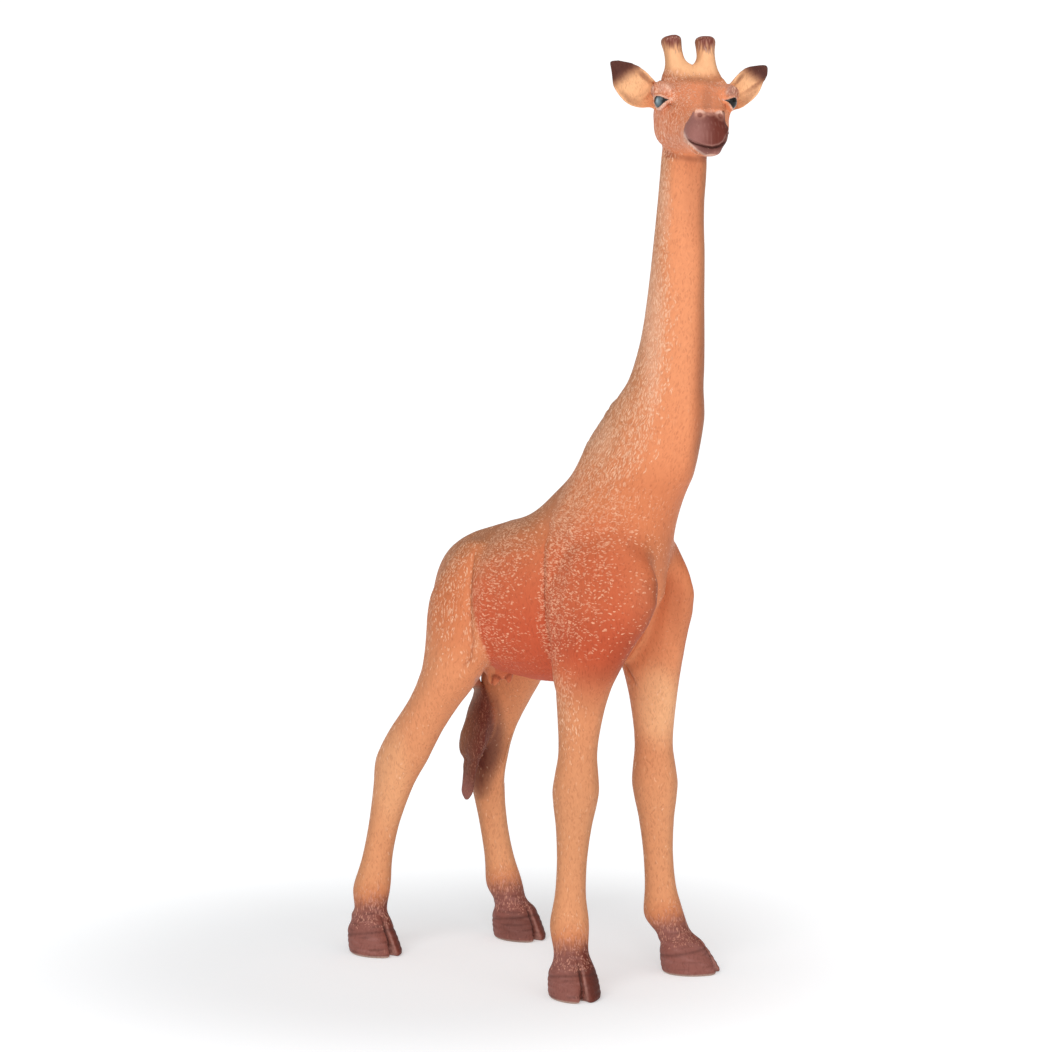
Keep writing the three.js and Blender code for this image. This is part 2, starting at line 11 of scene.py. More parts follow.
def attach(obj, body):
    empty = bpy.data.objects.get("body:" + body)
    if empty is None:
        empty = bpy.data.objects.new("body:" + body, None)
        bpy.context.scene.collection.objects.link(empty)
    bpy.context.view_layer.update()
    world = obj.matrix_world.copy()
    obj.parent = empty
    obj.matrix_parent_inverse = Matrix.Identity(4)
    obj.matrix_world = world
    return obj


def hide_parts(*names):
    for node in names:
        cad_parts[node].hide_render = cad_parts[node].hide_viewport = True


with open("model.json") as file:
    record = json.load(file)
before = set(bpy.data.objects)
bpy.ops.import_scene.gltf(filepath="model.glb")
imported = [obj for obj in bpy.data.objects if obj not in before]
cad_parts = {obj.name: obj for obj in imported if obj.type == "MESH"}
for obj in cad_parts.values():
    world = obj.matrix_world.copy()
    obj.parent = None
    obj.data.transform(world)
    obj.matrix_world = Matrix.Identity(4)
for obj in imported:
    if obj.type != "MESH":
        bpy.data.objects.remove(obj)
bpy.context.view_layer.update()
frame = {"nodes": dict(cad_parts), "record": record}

mm = 0.001

# The photographed view: where the camera stands and looks, in the frame's metres
view = {
    "place": (0.61581, -0.64772, 0.2080),
    "look": (-0.68999, 0.71036, -0.13890),
    "lens": 170.6,
    "sensor": 36,
    "columns": 1052,  # of the picture, in which places on it are told
    "pixel": 0.178,  # mm on the head that one of them covers
}


# A camera or lamp in the scene, turned to look along a line
def aim(made, look):
    obj = bpy.data.objects.new(made.name, made)
    bpy.context.scene.collection.objects.link(obj)
    obj.rotation_mode = "QUATERNION"
    obj.rotation_quaternion = Vector(look).to_track_quat("-Z", "Y")
    return obj


def setCamera():
    made = bpy.data.cameras.new("camera")
    made.lens = view["lens"]
    made.sensor_width = view["sensor"]
    made.clip_start = 0.05
    bpy.context.scene.camera = aim(made, view["look"])
    bpy.context.scene.camera.location = view["place"]


setCamera()
print("camera set")


# Selecting and reading meshes
def pick(*objects):
    bpy.ops.object.select_all(action="DESELECT")
    for obj in objects:
        obj.select_set(True)
    bpy.context.view_layer.objects.active = objects[-1]


# Edit mode on one mesh, for as long as the block lasts
@contextmanager
def editing(obj):
    pick(obj)
    bpy.ops.object.mode_set(mode="EDIT")
    yield
    bpy.ops.object.mode_set(mode="OBJECT")


# What the mesh's points, edges or corners hold, so many numbers to each
def read(items, key, width, kind=np.float32):
    flat = np.empty(len(items) * width, kind)
    items.foreach_get(key, flat)
    return flat.reshape(-1, width)


# All points of a mesh in millimetres
def getPoints(mesh):
    return read(mesh.vertices, "co", 3).astype(float) / mm


def setPoints(mesh, points):
    mesh.vertices.foreach_set("co", (points * mm).astype(np.float32).ravel())
    mesh.update()


def getNormals(mesh):
    return read(mesh.vertices, "normal", 3).astype(float)


def getEdges(mesh):
    return read(mesh.edges, "vertices", 2, np.int32)


# Each value drifts towards its neighbours' mean, at its own rate
def relax(values, edges, rounds, rate=0.5):
    whole = np.array(values, float).reshape(len(values), -1)
    rate = np.broadcast_to(rate, len(whole))
    count = np.bincount(edges.ravel(), minlength=len(whole))
    # Only the places that move, and their neighbours, are reckoned with
    used, ends = np.unique(edges[(rate[edges] > 0).any(1)], return_inverse=True)
    first, second = ends.reshape(-1, 2).T
    part = whole[used]
    share = (rate[used] / count[used])[:, None]
    pull = np.empty_like(part)
    for _ in range(rounds):
        for axis in range(part.shape[1]):
            column = part[:, axis]
            pull[:, axis] = np.bincount(first, column[second], len(part))
            pull[:, axis] += np.bincount(second, column[first], len(part))
        part = part + share * (pull - count[used][:, None] * part)
    whole[used] = part
    return whole.reshape(np.shape(values))


# 0 before low, 1 after high, smooth between
def ease(value, low, high):
    t = np.clip((value - low) / (high - low), 0, 1)
    return t * t * (3 - 2 * t)


def fade(value, low, high):
    return 1 - ease(value, low, high)


# 1 in the middle, next to nothing beyond twice the width
def bell(away, width):
    return np.exp(-((away / width) ** 2))


# 1 along a line, fading over these shares of it at its start and end
def taper(along, start, end):
    return ease(along, 0, start) * ease(1 - along, 0, end)


def size(vectors):
    return np.sqrt((vectors * vectors).sum(1))


def unit(vector):
    vector = np.array(vector, float)
    return vector / np.linalg.norm(vector)


def mirror(side):
    return np.array([1, side, 1])


# Nearest distance to a line of points, how far along it, and the side that it lies on
def alongLine(points, line):
    line = np.array(line, float)
    best = np.full(len(points), 1e9)
    along = np.zeros(len(points))
    side = np.zeros(len(points))
    for index in range(len(line) - 1):
        start, step = line[index], line[index + 1] - line[index]
        t = np.clip((points - start) @ step / (step @ step), 0, 1)
        off = points - start - t[:, None] * step
        away = size(off)
        nearer = away < best
        best[nearer] = away[nearer]
        along[nearer] = (index + t[nearer]) / (len(line) - 1)
        if line.shape[1] == 2:
            side[nearer] = np.sign(step[0] * off[nearer, 1] - step[1] * off[nearer, 0])
    return best, along, side


# Column and row of the picture where the camera sees each point
def inView(points):
    look = unit(view["look"])
    right = unit(np.cross(look, [0, 0, 1]))
    off = points - np.array(view["place"]) / mm
    scale = view["lens"] / view["sensor"] * view["columns"] / (off @ look)
    middle = view["columns"] / 2
    return np.stack([middle + (off @ right) * scale, middle - (off @ np.cross(right, look)) * scale], 1)


def facingView(normals):
    return normals @ -unit(view["look"])


# The same wavy field for the same place every run: a few crossed sine waves
def ripple(points, pitch, seed):
    spread = np.random.RandomState(seed)
    total = np.zeros(len(points))
    for _ in range(7):
        direction = unit(spread.normal(size=3)) / pitch
        total += np.sin(2 * math.pi * points @ direction * spread.uniform(0.7, 1.3) + spread.uniform(0, 6.28))
    return total / 7 ** 0.5


# The animal's skin: the mouldings joined into one surface, smoothed, shaped and parted again
skinCare = {
    "closing": 0.24,  # mm that each moulding grows, which closes the glue lines
    "voxel": 0.35,
    "smoothRounds": 46,
    "restoreRounds": 30,
    # How readily each kind of place is smoothed; the rest takes 0.5
    "rates": {"hoof": 0.3, "head": 0.24, "ossicone": 0.2, "eye": 0.24, "ear": 0.2, "tuft": 0.3},
    "udder": (-18.5, -1.5, 53),
    "udderReach": 5,
    # Hollows that are melted away, with their reach in mm and rounds
    "melts": [
        ((24, 0, 82), (8.5, 15, 11), 600),  # between the shoulders, the chest and the neck
        ((-4, -0.3, 90), (15, 9, 11), 1500),  # withers
        ((-28, 7, 38), (5, 4, 12), 300),  # between the tuft and the leg
        ((-28.5, 4.5, 47), (3.5, 3.5, 5), 160),
        ((26.7, 0.8, 166), (3.2, 3, 3), 60),  # between the horns
    ],
    # The finer mesh: mm up, where that of the head begins and that of the hooves ends, and its reach round an eye
    "headFoot": 150.5,
    "hoofTop": 11,
    "eyeReach": 3.6,
    "wall": 0.7,  # mm that the edge of each parted skin is turned inwards
}
skinNodes = sorted(frame["nodes"])


def copyNode(name):
    obj = frame["nodes"][name].copy()
    obj.data = obj.data.copy()
    obj.parent = None
    bpy.context.scene.collection.objects.link(obj)
    obj.name = name + ".copy"
    with editing(obj):
        bpy.ops.mesh.select_all(action="SELECT")
        bpy.ops.mesh.remove_doubles(threshold=0.002 * mm)
        bpy.ops.mesh.normals_make_consistent(inside=False)
    return obj


def grow(obj, amount):
    with editing(obj):
        bpy.ops.mesh.select_all(action="SELECT")
        bpy.ops.transform.shrink_fatten(value=amount * mm)


# Which moulding each point of the skin is nearest to
def makeOwners(copies):
    points, faces, owners = [], [], []
    for index, obj in enumerate(copies):
        base = len(points)
        points += [vertex.co.copy() for vertex in obj.data.vertices]
        faces += [[base + corner for corner in face.vertices] for face in obj.data.polygons]
        owners += [index] * len(obj.data.polygons)
    tree = BVHTree.FromPolygons(points, faces)

    def ownersOf(places):
        return np.array([owners[tree.find_nearest(place)[2]] for place in places * mm])

    return ownersOf


def makeSkin():
    copies = [copyNode(name) for name in skinNodes]
    ownersOf = makeOwners(copies)
    for obj in copies:
        grow(obj, skinCare["closing"])
    pick(*copies)
    bpy.ops.object.join()
    skin = bpy.context.object
    skin.name = "skin"
    skin.data.materials.clear()
    skin.data.remesh_voxel_size = skinCare["voxel"] * mm
    bpy.ops.object.voxel_remesh()
    return skin, ownersOf


def rateOf(points, owners):
    rate = np.full(len(owners), 0.5)
    for index, name in enumerate(skinNodes):
        rate[owners == index] = skinCare["rates"].get(name.split("_")[-1], 0.5)
    udder = size(points - skinCare["udder"]) / skinCare["udderReach"]
    return rate * (1 - 0.88 * fade(udder, 0.7, 1.1) * (points[:, 2] < 56))


def smoothSkin(skin, ownersOf):
    rough = getPoints(skin.data)
    edges = getEdges(skin.data)
    rate = relax(rateOf(rough, ownersOf(rough)), edges, 6)
    smooth = relax(rough, edges, skinCare["smoothRounds"], rate)
    setPoints(skin.data, smooth)
    normals = getNormals(skin.data)
    lost = ((rough - smooth) * normals).sum(1)
    lost = relax(lost, edges, skinCare["restoreRounds"]) - skinCare["closing"] * 0.9
    smooth += lost[:, None] * normals
    for middle, reach, rounds in skinCare["melts"]:
        off = size((smooth - middle) / reach)
        smooth = relax(smooth, edges, rounds, 0.5 * fade(off, 0.6, 1.1))
    setPoints(skin.data, smooth)


# Finer faces where the mask holds, softened once
def refine(skin, mask):
    old = len(skin.data.vertices)
    wanted = np.array([mask[list(face.vertices)].all() for face in skin.data.polygons])
    skin.data.polygons.foreach_set("select", wanted)
    for items in (skin.data.vertices, skin.data.edges):
        items.foreach_set("select", np.zeros(len(items), bool))
    with editing(skin):
        bpy.ops.mesh.select_mode(type="FACE")
        bpy.ops.mesh.subdivide(number_cuts=1, smoothness=0)
    points = getPoints(skin.data)
    rate = np.zeros(len(points))
    rate[old:] = 0.5
    rate[:old][mask] = 0.25
    setPoints(skin.data, relax(points, getEdges(skin.data), 3, rate))


# The head's own frame: origin at the nape, +X to the nose, +Y its left side, +Z the crown
headPlace = {
    "nape": (21.42, 4.35, 158.57),
    "turn": -37.5,
    "nod": 1,
    "lean": -3,
}


def turned(angle, first, second):
    matrix = np.eye(3)
    turn = math.radians(angle)
    matrix[first, first] = matrix[second, second] = math.cos(turn)
    matrix[first, second], matrix[second, first] = -math.sin(turn), math.sin(turn)
    return matrix


headAxes = turned(headPlace["turn"], 0, 1) @ turned(headPlace["nod"], 2, 0) @ turned(headPlace["lean"], 1, 2)


def toHead(points):
    return (points - headPlace["nape"]) @ headAxes


def fromHead(points):
    return points @ headAxes.T + headPlace["nape"]


eyes = {
    "places": {-1: (11.6, -6, 2.05), 1: (11.7, 5.45, 2.4)},  # in the head's frame, by side
    "radius": 1.56,
    "gaze": (0.72, 0.69, 0.06),
    # The opening between the lids, forwards and up, in mm on the ball
    "opening": [
        (1.42, 0.42), (0.85, 0.62), (0.1, 0.74), (-0.7, 0.66), (-1.25, 0.3), (-1.42, -0.15),
        (-1.2, -0.8), (-0.65, -1.24), (0, -1.12), (0.6, -0.62), (1.05, -0.05),
    ],
    "lid": 0.24,
    # How strong the painted reflection is on each eye
    "cloud": {"right": 1, "left": 0},
    "depth": 0.4,
}
eyeSides = {"right": -1, "left": 1}


def eyeFrame(side):
    gaze = unit(eyes["gaze"] * mirror(side))
    ahead = unit([1, 0, 0] - gaze[0] * gaze)
    up = np.cross(ahead, gaze) * side
    return np.array(eyes["places"][side]), gaze, ahead, up * np.sign(up[2])


# For points in the head's frame: distance from the ball's centre, place on it, and distance past the lids
def onEye(local, side):
    centre, gaze, ahead, up = eyeFrame(side)
    off = local - centre
    away = size(off)
    facing = off @ gaze / away
    spot = np.stack([off @ ahead, off @ up], 1) / away[:, None] * eyes["radius"]
    outline = np.array(eyes["opening"] + eyes["opening"][:1])
    gap, _, _ = alongLine(spot, outline)
    inside = np.zeros(len(spot), bool)
    for start, end in zip(outline[:-1], outline[1:]):
        crosses = (start[1] > spot[:, 1]) != (end[1] > spot[:, 1])
        run = (end[0] - start[0]) * (spot[:, 1] - start[1]) / (end[1] - start[1] + 1e-12) + start[0]
        inside ^= crosses & (spot[:, 0] < run)
    return away, facing, spot, np.where(inside, -gap, gap)


# Lids lie on the ball, and the skin between them sinks behind it
def shapeEyes(points):
    local = toHead(points)
    for side in eyeSides.values():
        away, facing, _, gap = onEye(local, side)
        near = (away < 4.5) & (facing > 0.1)
        target = eyes["radius"] - eyes["depth"] + (eyes["depth"] + eyes["lid"]) * ease(gap, -0.1, 0.12)
        target -= 0.16 * ease(gap, 0.3, 0.62) - 0.12 * ease(gap, 0.62, 0.95)
        weight = fade(gap, 0.5, 1.5) * ease(facing, 0.1, 0.35) * near
        centre = eyeFrame(side)[0]
        scale = 1 + weight * (target / away - 1)
        local = np.where(near[:, None], centre + (local - centre) * scale[:, None], local)
    return fromHead(local)


# The face's forms in the head's frame: centre, radii and height of each swelling
face = {
    "swellings": [
        ((9.4, 6.9, 3.4), (2.3, 1.6, 1.9), 0.75),  # ridge over the eye
        ((6.2, 5.2, 5), (2.4, 1.7, 1.8), 0.8),  # flared foot of the horn
        ((6.6, 1.3, 7.6), (2, 1.2, 1.6), 0.5),  # foot of the horn, inside
        ((23.9, 1.85, 1), (1.2, 1.05, 1), 1),  # nostril
        ((24.9, 3, -1.6), (2.2, 1.6, 1.6), 0.2),  # upper lip
        ((9, 6.2, -5.4), (4, 1.8, 2.2), -0.15),  # the jaw's corner
        ((10.6, 5.6, -1), (2.6, 1.2, 0.8), -0.25),  # under the eye
        ((17.5, 4, -1.4), (2.2, 1.6, 2.6), -0.3),  # between the cheek and the muzzle
    ],
    "middle": [
        ((24.2, 0.1, 1.3), (0.9, 0.75, 0.7), 0.6),  # knob between the nostrils
        ((22.6, 0, 1.4), (2.4, 3.4, 1.2), 0.35),
        ((25.3, 0.5, -5.6), (1.7, 2.6, 0.7), 0.3),  # lower lip
        ((24, 0, -7.2), (3, 3.4, 1.2), -0.55),  # chin
        ((25, 4, -2.6), (3, 1.6, 2.6), -0.4),  # the muzzle's left side lies flatter
        ((25, 3.4, -5.6), (2.5, 1.9, 1.8), -0.6),
        ((14, 0, 4.6), (3, 2.2, 1.5), -0.2),
        ((6.6, 0, 6.8), (1.9, 2.2, 1.6), 0.5),  # poll between the horns
    ],
    "mouth": [
        (20.6, -4.4, -1.6), (22.2, -4.1, -2.2), (24.3, -3.9, -2.95), (26.2, -2.6, -4.1), (26.9, -0.9, -4.75),
        (27.2, 1, -4.4), (26.6, 2.6, -3.1), (25.3, 3.7, -1.8), (22.8, 4.2, -1.2), (21.2, 4.4, -0.9),
    ],
    # The same line where the picture shows it, in columns and rows
    "mouthSeen": [
        (684.5, 133), (686.7, 138.8), (690.8, 142), (695.9, 144.3), (705.1, 146.9), (712.4, 148),
        (719.8, 146.3), (725.3, 142.4), (728.2, 136),
    ],
    # The lower lip's edge against the cheek
    "lipSeen": [(683.5, 128), (684.5, 136), (688.5, 142.5), (696.5, 149.8), (703, 154), (709, 157)],
    "mouthDepth": 0.5,
    "mouthWidth": 0.25,
    "throat": [(6.5, -5, -7), (8, -3.9, -7.5), (10.4, -0.4, -7.7), (9.4, 2.5, -7.8), (8.5, 4, -7.6)],
    "nostril": (24.9, 1.8, 0.75),
    "hole": 0.42,
}


def swell(local, forms):
    total = np.zeros(len(local))
    for centre, radii, height in forms:
        off = (local - centre) / radii
        total += height * np.exp(-(off * off).sum(1))
    return total


# The line of the mouth: distance from it in mm, how far along it and below it; as seen, or on the head where unseen
def onMouth(points, local):
    seen, alongSeen, hand = alongLine(inView(points), face["mouthSeen"])
    seen = seen * view["pixel"] + 9 * ease(local[:, 1], 2.6, 3.4) + 9 * (local[:, 0] < 19)
    gap, along, _ = alongLine(local, face["mouth"])
    gap = gap + 9 * fade(local[:, 1], 2, 2.8)
    return np.minimum(seen, gap), np.where(seen < gap, alongSeen * 0.6, along), hand > 0


def shapeFace(points, normals):
    local = toHead(points)
    total = np.zeros(len(points))
    for side in (-1, 1):
        flip = local * mirror(side)
        total += swell(flip, face["swellings"])
        total -= 0.6 * bell(size(flip - face["nostril"]), face["hole"])
        _, facing, spot, gap = onEye(local, side)
        folds = (gap > 0.8) & (gap < 2.4) & (spot[:, 1] > 0.5) & (facing > 0.25)
        total += 0.07 * np.sin(gap * 2 * math.pi / 0.6) * folds * ease(gap, 0.8, 1.1) * fade(gap, 1.8, 2.4)
    total += swell(local, face["middle"])
    gap, along, _ = onMouth(points, local)
    ends = taper(along, 0.1, 0.1)
    # The lip above the line is rolled
    over = local[:, 2] > np.interp(local[:, 1], [-4, 0, 4], [-3, -4.7, -1.9])
    total += (0.16 * bell(gap - 0.65, 0.35) * over - face["mouthDepth"] * bell(gap, face["mouthWidth"])) * ends
    gap, along, _ = alongLine(local, face["throat"])
    total -= 0.35 * bell(gap, 0.7) * taper(along, 0.2, 0.2)
    onHead = ease(points[:, 2], 150.5, 152) * ease(local[:, 0], -2, 2)
    return points + (total * onHead)[:, None] * normals


# The creases that the photograph shows on the near side, forwards and up, mirrored to the far side
bodyForms = {
    "creases": [
        # line, depth, width, lift of the plate beside it, side that is lifted (1 is forwards), strength of the painted
        # shade in it
        ([(0.2, 83), (1, 80.3), (2.3, 75.1), (2.8, 68.9), (3, 63.3), (4.4, 58.9), (7.2, 55.6), (9.2, 52.5)],
         0.36, 0.3, 0.4, 1, 0.6),
        ([(-17.6, 79), (-16.9, 76.6), (-16, 72.3), (-15, 67), (-14.2, 61.6), (-14.7, 58.2), (-16.6, 55.8)],
         0.26, 0.24, 0.4, 1, 0.5),
    ],
    # centre, radii and height of each swelling, on both sides
    "swellings": [
        ((9, 12, 78), (5, 5, 8), 0.45),
        ((24.5, 7, 79), (3.5, 4.5, 5), 0.6),
        ((-24, 11, 70), (5, 5, 9), 0.45),
        ((-27, 8, 80), (3.5, 4, 3), 0.4),
        ((-8, 11, 66), (6, 5, 8), 0.3),
    ],
    "nearSwellings": [
        ((-4.5, -0.5, 88.5), (7, 5, 6), 1.2),  # withers
        ((25.6, -8, 76.6), (2.6, 3.5, 3.2), 0.9),  # front of the near shoulder
        ((27, -8.7, 71.8), (2.2, 3, 2.6), -0.35),
        ((-28.4, 10.4, 33.5), (6.5, 6.5, 10.5), -1.7),  # front of the far hind leg
        ((-30.2, 6.4, 50.5), (2.2, 2.2, 3), 1.3),  # its back, under the haunch
    ],
    "maneTop": 151,
    "maneFoot": 92,
    "manePitch": 2.7,
    "maneHeight": 0.3,
    # The udder's mound and its two teats hang down: centre, radius and drop
    "udder": [((-18, -1.6, 53.6), 2.6, 0.5), ((-18.6, -2.4, 53), 0.62, 0.8), ((-16.8, -0.8, 53.2), 0.62, 1.2)],
}
# The neck's middle: how far forwards it is at each height
neckRise = [84, 92, 100, 108, 116, 124, 140, 152, 160]
neckAhead = [12.5, 15.5, 18.6, 20.2, 22.4, 23.8, 24.7, 25.5, 26]
neckSide = -0.31


# 1 along the mane, 0 on the neck's sides, -1 along the throat
def neckBack(points):
    ahead = np.interp(points[:, 2], neckRise, neckAhead)
    away = np.hypot(ahead - points[:, 0], points[:, 1] - neckSide)
    return (ahead - points[:, 0]) / np.maximum(away, 0.01)


def shapeBody(points, normals):
    total = swell(points, bodyForms["nearSwellings"])
    for side in (-1, 1):
        lateral = ease(points[:, 1] * side, 2, 5)
        for line, depth, width, lift, lifted, _ in bodyForms["creases"]:
            gap, along, hand = alongLine(points[:, [0, 2]], line)
            # The lines run downwards, so forwards of them is the left hand
            signed = gap * hand * lifted
            plate = lift * ease(signed, -0.2, 1) * fade(signed, 1.5, 6.5)
            total += (plate - depth * bell(signed + 0.2, width)) * taper(along, 0.35, 0.15) * lateral
        total += swell(points * mirror(side), bodyForms["swellings"])
    z = points[:, 2]
    ridge = ease(neckBack(points), 0.9, 0.985) * ease(z, bodyForms["maneFoot"], 97)
    ridge *= fade(z, bodyForms["maneTop"] - 3, bodyForms["maneTop"])
    wave = z / bodyForms["manePitch"] + 0.35 * np.sin(z * 0.9)
    uneven = 0.6 + 0.5 * np.sin(z * 0.37) + 0.4 * np.sin(z * 0.83)
    total += ridge * bodyForms["maneHeight"] * uneven * (np.abs(np.sin(math.pi * wave)) ** 0.7 - 0.35)
    points = points + total[:, None] * normals
    for middle, radius, drop in bodyForms["udder"]:
        away = np.hypot(points[:, 0] - middle[0], points[:, 1] - middle[1]) / radius
        under = ease(-normals[:, 2], -0.1, 0.4) * fade(np.abs(points[:, 2] - middle[2]), 2, 3.5)
        points[:, 2] -= drop * np.exp(-(away ** 4)) * under
    return points


# Each hoof's own frame: the sole's place from the record, turned like the CAD's hoof
hooves = {
    "turns": {"right_fore": -28, "left_fore": 27, "right_hind": -6, "left_hind": -7},
    "cleftDepth": 0.6,
    "cleftWidth": 0.3,
    "coronet": 4.4,
    "coronetRise": 0.16,
    "ringPitch": 0.95,
    "claw": ((-3.4, 1.5, 6.8), (1.1, 0.9, 1.1), 0.6),  # dewclaw: centre, radii and height, on both sides
}


def soleOf(name):
    for mount in frame["record"]["mounts"]:
        if mount["name"] == name + "_sole":
            return np.array(mount["pos_m"]) / mm
    raise ValueError(name)


def toHoof(points, name):
    return (points - soleOf(name)) @ turned(hooves["turns"][name], 0, 1)


def shapeHooves(points, normals):
    total = np.zeros(len(points))
    for name in hooves["turns"]:
        local = toHoof(points, name)
        ahead, out, up = local.T
        near = fade(np.hypot(ahead, out), 6.5, 8.5) * fade(up, 9, 11)
        rise = up - hooves["coronet"] - hooves["coronetRise"] * ahead
        cleft = bell(out, hooves["cleftWidth"]) * ease(ahead, -0.5, 1.5) * fade(up, 4.6, 8)
        wall = ease(up, 0.4, 0.9) * fade(rise, -1.1, -0.5)
        rings = wall * 0.035 * np.sin(up * 2 * math.pi / hooves["ringPitch"] + 0.4 * ahead)
        coronet = 0.12 * bell(rise - 1.6, 1.4) * (1 - cleft) - 0.08 * bell(rise + 0.35, 0.25)
        total += near * (rings + coronet - hooves["cleftDepth"] * cleft)
        total += swell(local, [hooves["claw"]]) + swell(local * mirror(-1), [hooves["claw"]])
    return points + (total * ease(points[:, 2], 0.05, 0.5))[:, None] * normals


# Ears in the head's frame: each one's line runs from its root to its tip
ears = {
    "root": (6.2, 5.4, 2.6),
    "tips": {"right": (6.1, -14.4, 7.4), "left": (6.2, 13.6, 8.3)},
    "shoulder": 1.2,  # mm that the upper edge near the root comes down
    "fold": [(2.6, 1.9), (2.2, 0.2), (2.5, -1.4), (3.3, -2.5)],
    "foldHeight": 0.3,
    # mm that the tip goes up and out, and that the lower edge goes down
    "tipLift": {"right": 0.4, "left": 0.2},
    "tipReach": {"right": 0.6, "left": 0},
    "sag": {"right": 0.5, "left": -0.7},
    "glow": {"right": 0.6, "left": 0.25},  # how apricot the root is
}


# Points in an ear's own place: along it and up across it in mm, the share of its length, and which way is across
def onEar(local, hand):
    side = eyeSides[hand]
    root = ears["root"] * mirror(side)
    along = ears["tips"][hand] - root
    length = np.linalg.norm(along)
    along /= length
    across = unit(np.cross([1, 0, 0], along) * -side)
    across *= np.sign(across[2])
    off = local - root
    return off @ along, off @ across, off @ along / length, across


def ofNode(*names):
    return np.isin(owners, [skinNodes.index(name) for name in names])


# The same with soft borders
def softNode(rounds, *names):
    return relax(ofNode(*names).astype(float), getEdges(skin.data), rounds)


def shapeEars(points):
    local = toHead(points)
    for hand, side in eyeSides.items():
        along, up, q, across = onEar(local, hand)
        mine = softNode(4, hand + "_ear")
        lift = ears["tipLift"][hand] * ease(q, 0.72, 0.98) - ears["shoulder"] * ease(up, 0.4, 2.8) * fade(q, 0.2, 0.8)
        lift -= ears["sag"][hand] * ease(-up, 0.3, 2.4) * ease(q, 0.05, 0.4) * fade(q, 0.75, 1)
        reach = ears["tipReach"][hand] * ease(q, 0.2, 1)
        gap, run, _ = alongLine(np.stack([along, up], 1), ears["fold"])
        local += (lift * mine)[:, None] * across
        local += (reach * mine)[:, None] * unit(np.cross(across, [1, 0, 0]) * side)
        local[:, 0] += ears["foldHeight"] * bell(gap, 0.5) * taper(run, 0.25, 0.25) * mine
    return fromHead(local)


# The tuft lies on the leg in clumps of hair
tuft = {
    "middle": (-30.9, 4.7),
    "inwards": (0.71, 0.69, 0),  # away from the outer side, to the picture's right
    "grooves": 17,
    "grooveDepth": 0.05,
    "lumps": 0.35,
    "slim": [(36, 0), (40, 0.2), (43, 1.1), (46.5, 1.9), (49, 1.9)],  # how far the outer side goes in at each height
    "notch": 34.8,  # mm up, where the lower lobe begins
    "notchDepth": 0.4,
}


def shapeTuft(points, normals):
    mine = softNode(4, "tail_tuft")
    inwards = np.array(tuft["inwards"])
    angle = np.arctan2(points[:, 1] - tuft["middle"][1], points[:, 0] - tuft["middle"][0])
    up = points[:, 2]
    twist = angle * tuft["grooves"] + 1.3 * np.sin(up * 0.55) + 0.8 * np.sin(up * 1.3 + 2 * angle)
    total = tuft["grooveDepth"] * np.sin(twist) + tuft["lumps"] * 0.5 * ripple(points, (4, 4, 6), 21)
    notch = 0.1 * bell(up - tuft["notch"] + 3.4, 1.8) - tuft["notchDepth"] * bell(up - tuft["notch"], 0.9)
    total += notch * ease(normals @ -inwards, -0.2, 0.6) + 0.4 * bell(up - 28.5, 1.2)
    points = points + (total * mine)[:, None] * normals
    outside = (points[:, :2] - tuft["middle"]) @ inwards[:2]
    squeeze = np.interp(up, *zip(*tuft["slim"])) * fade(outside, -2.5, 2.5) * relax(mine, getEdges(skin.data), 8)
    return points + squeeze[:, None] * inwards


skin, ownersOf = makeSkin()
print("skin remeshed", len(skin.data.vertices))
smoothSkin(skin, ownersOf)
print("skin smoothed")
points = getPoints(skin.data)
refine(skin, (points[:, 2] > skinCare["headFoot"]) | (points[:, 2] < skinCare["hoofTop"]))
points = getPoints(skin.data)
local = toHead(points)
detail = (onEye(local, 1)[0] < skinCare["eyeReach"]) | (onEye(local, -1)[0] < skinCare["eyeReach"])
refine(skin, detail | (local[:, 0] > 20.5) & (local[:, 2] > -6) & (points[:, 2] > 151))
print("head refined", len(skin.data.vertices))
owners = ownersOf(getPoints(skin.data))
points = shapeBody(getPoints(skin.data), getNormals(skin.data))
setPoints(skin.data, points)
points = shapeFace(points, getNormals(skin.data))
setPoints(skin.data, points)
points = shapeHooves(points, getNormals(skin.data))
points = shapeTuft(points, getNormals(skin.data))
points = shapeEars(shapeEyes(points))
setPoints(skin.data, points)
print("skin shaped")


# Named paints, as sRGB numbers
inks = {
    "tan": (222, 151, 106),
    "orange": (226, 139, 94),
    "russet": (202, 114, 72),
    "red": (200, 88, 54),
    # A dark ink for painted shade in creases, hollows and along outlines
    "painted_shade": (122, 48, 28),
    "apricot": (231, 149, 104),
    "flesh": (244, 152, 108),
    "umber": (124, 74, 58),
    "salmon": (244, 186, 154),
    "haze": (251, 206, 178),
    "olive": (166, 114, 78),
    "brown": (132, 75, 63),
    "dark": (78, 44, 38),
    "mauve": (156, 104, 96),
    "oxblood": (106, 44, 32),
    "cream": (250, 192, 142),
    "rim": (240, 196, 176),
    "fleck": (248, 200, 166),
    "spark": (246, 178, 142),
    "pink": (214, 152, 130),
    "dust": (184, 134, 122),
    "hazel": (172, 118, 96),
    "horny": (190, 168, 154),
    "black": (10, 9, 9),
    "steel": (128, 148, 156),
    "glass": (178, 194, 200),
}


def ink(name):
    value = np.array(inks[name]) / 255
    return np.where(value <= 0.04045, value / 12.92, ((value + 0.055) / 1.055) ** 2.4)


def lay(paint, mask, name):
    mask = np.clip(mask, 0, 1)[:, None]
    paint[:] = paint * (1 - mask) + ink(name) * mask


# Paints in their order, each with its mask
def layAll(paint, within, layers):
    for mask, name in layers:
        lay(paint, within * mask, name)


# 1 inside an ellipse seen from the side, 0 outside it
def patch(points, centre, radii, soft):
    away = np.hypot((points[:, 0] - centre[0]) / radii[0], (points[:, 2] - centre[1]) / radii[1])
    return fade(away, 1 - soft, 1 + soft)


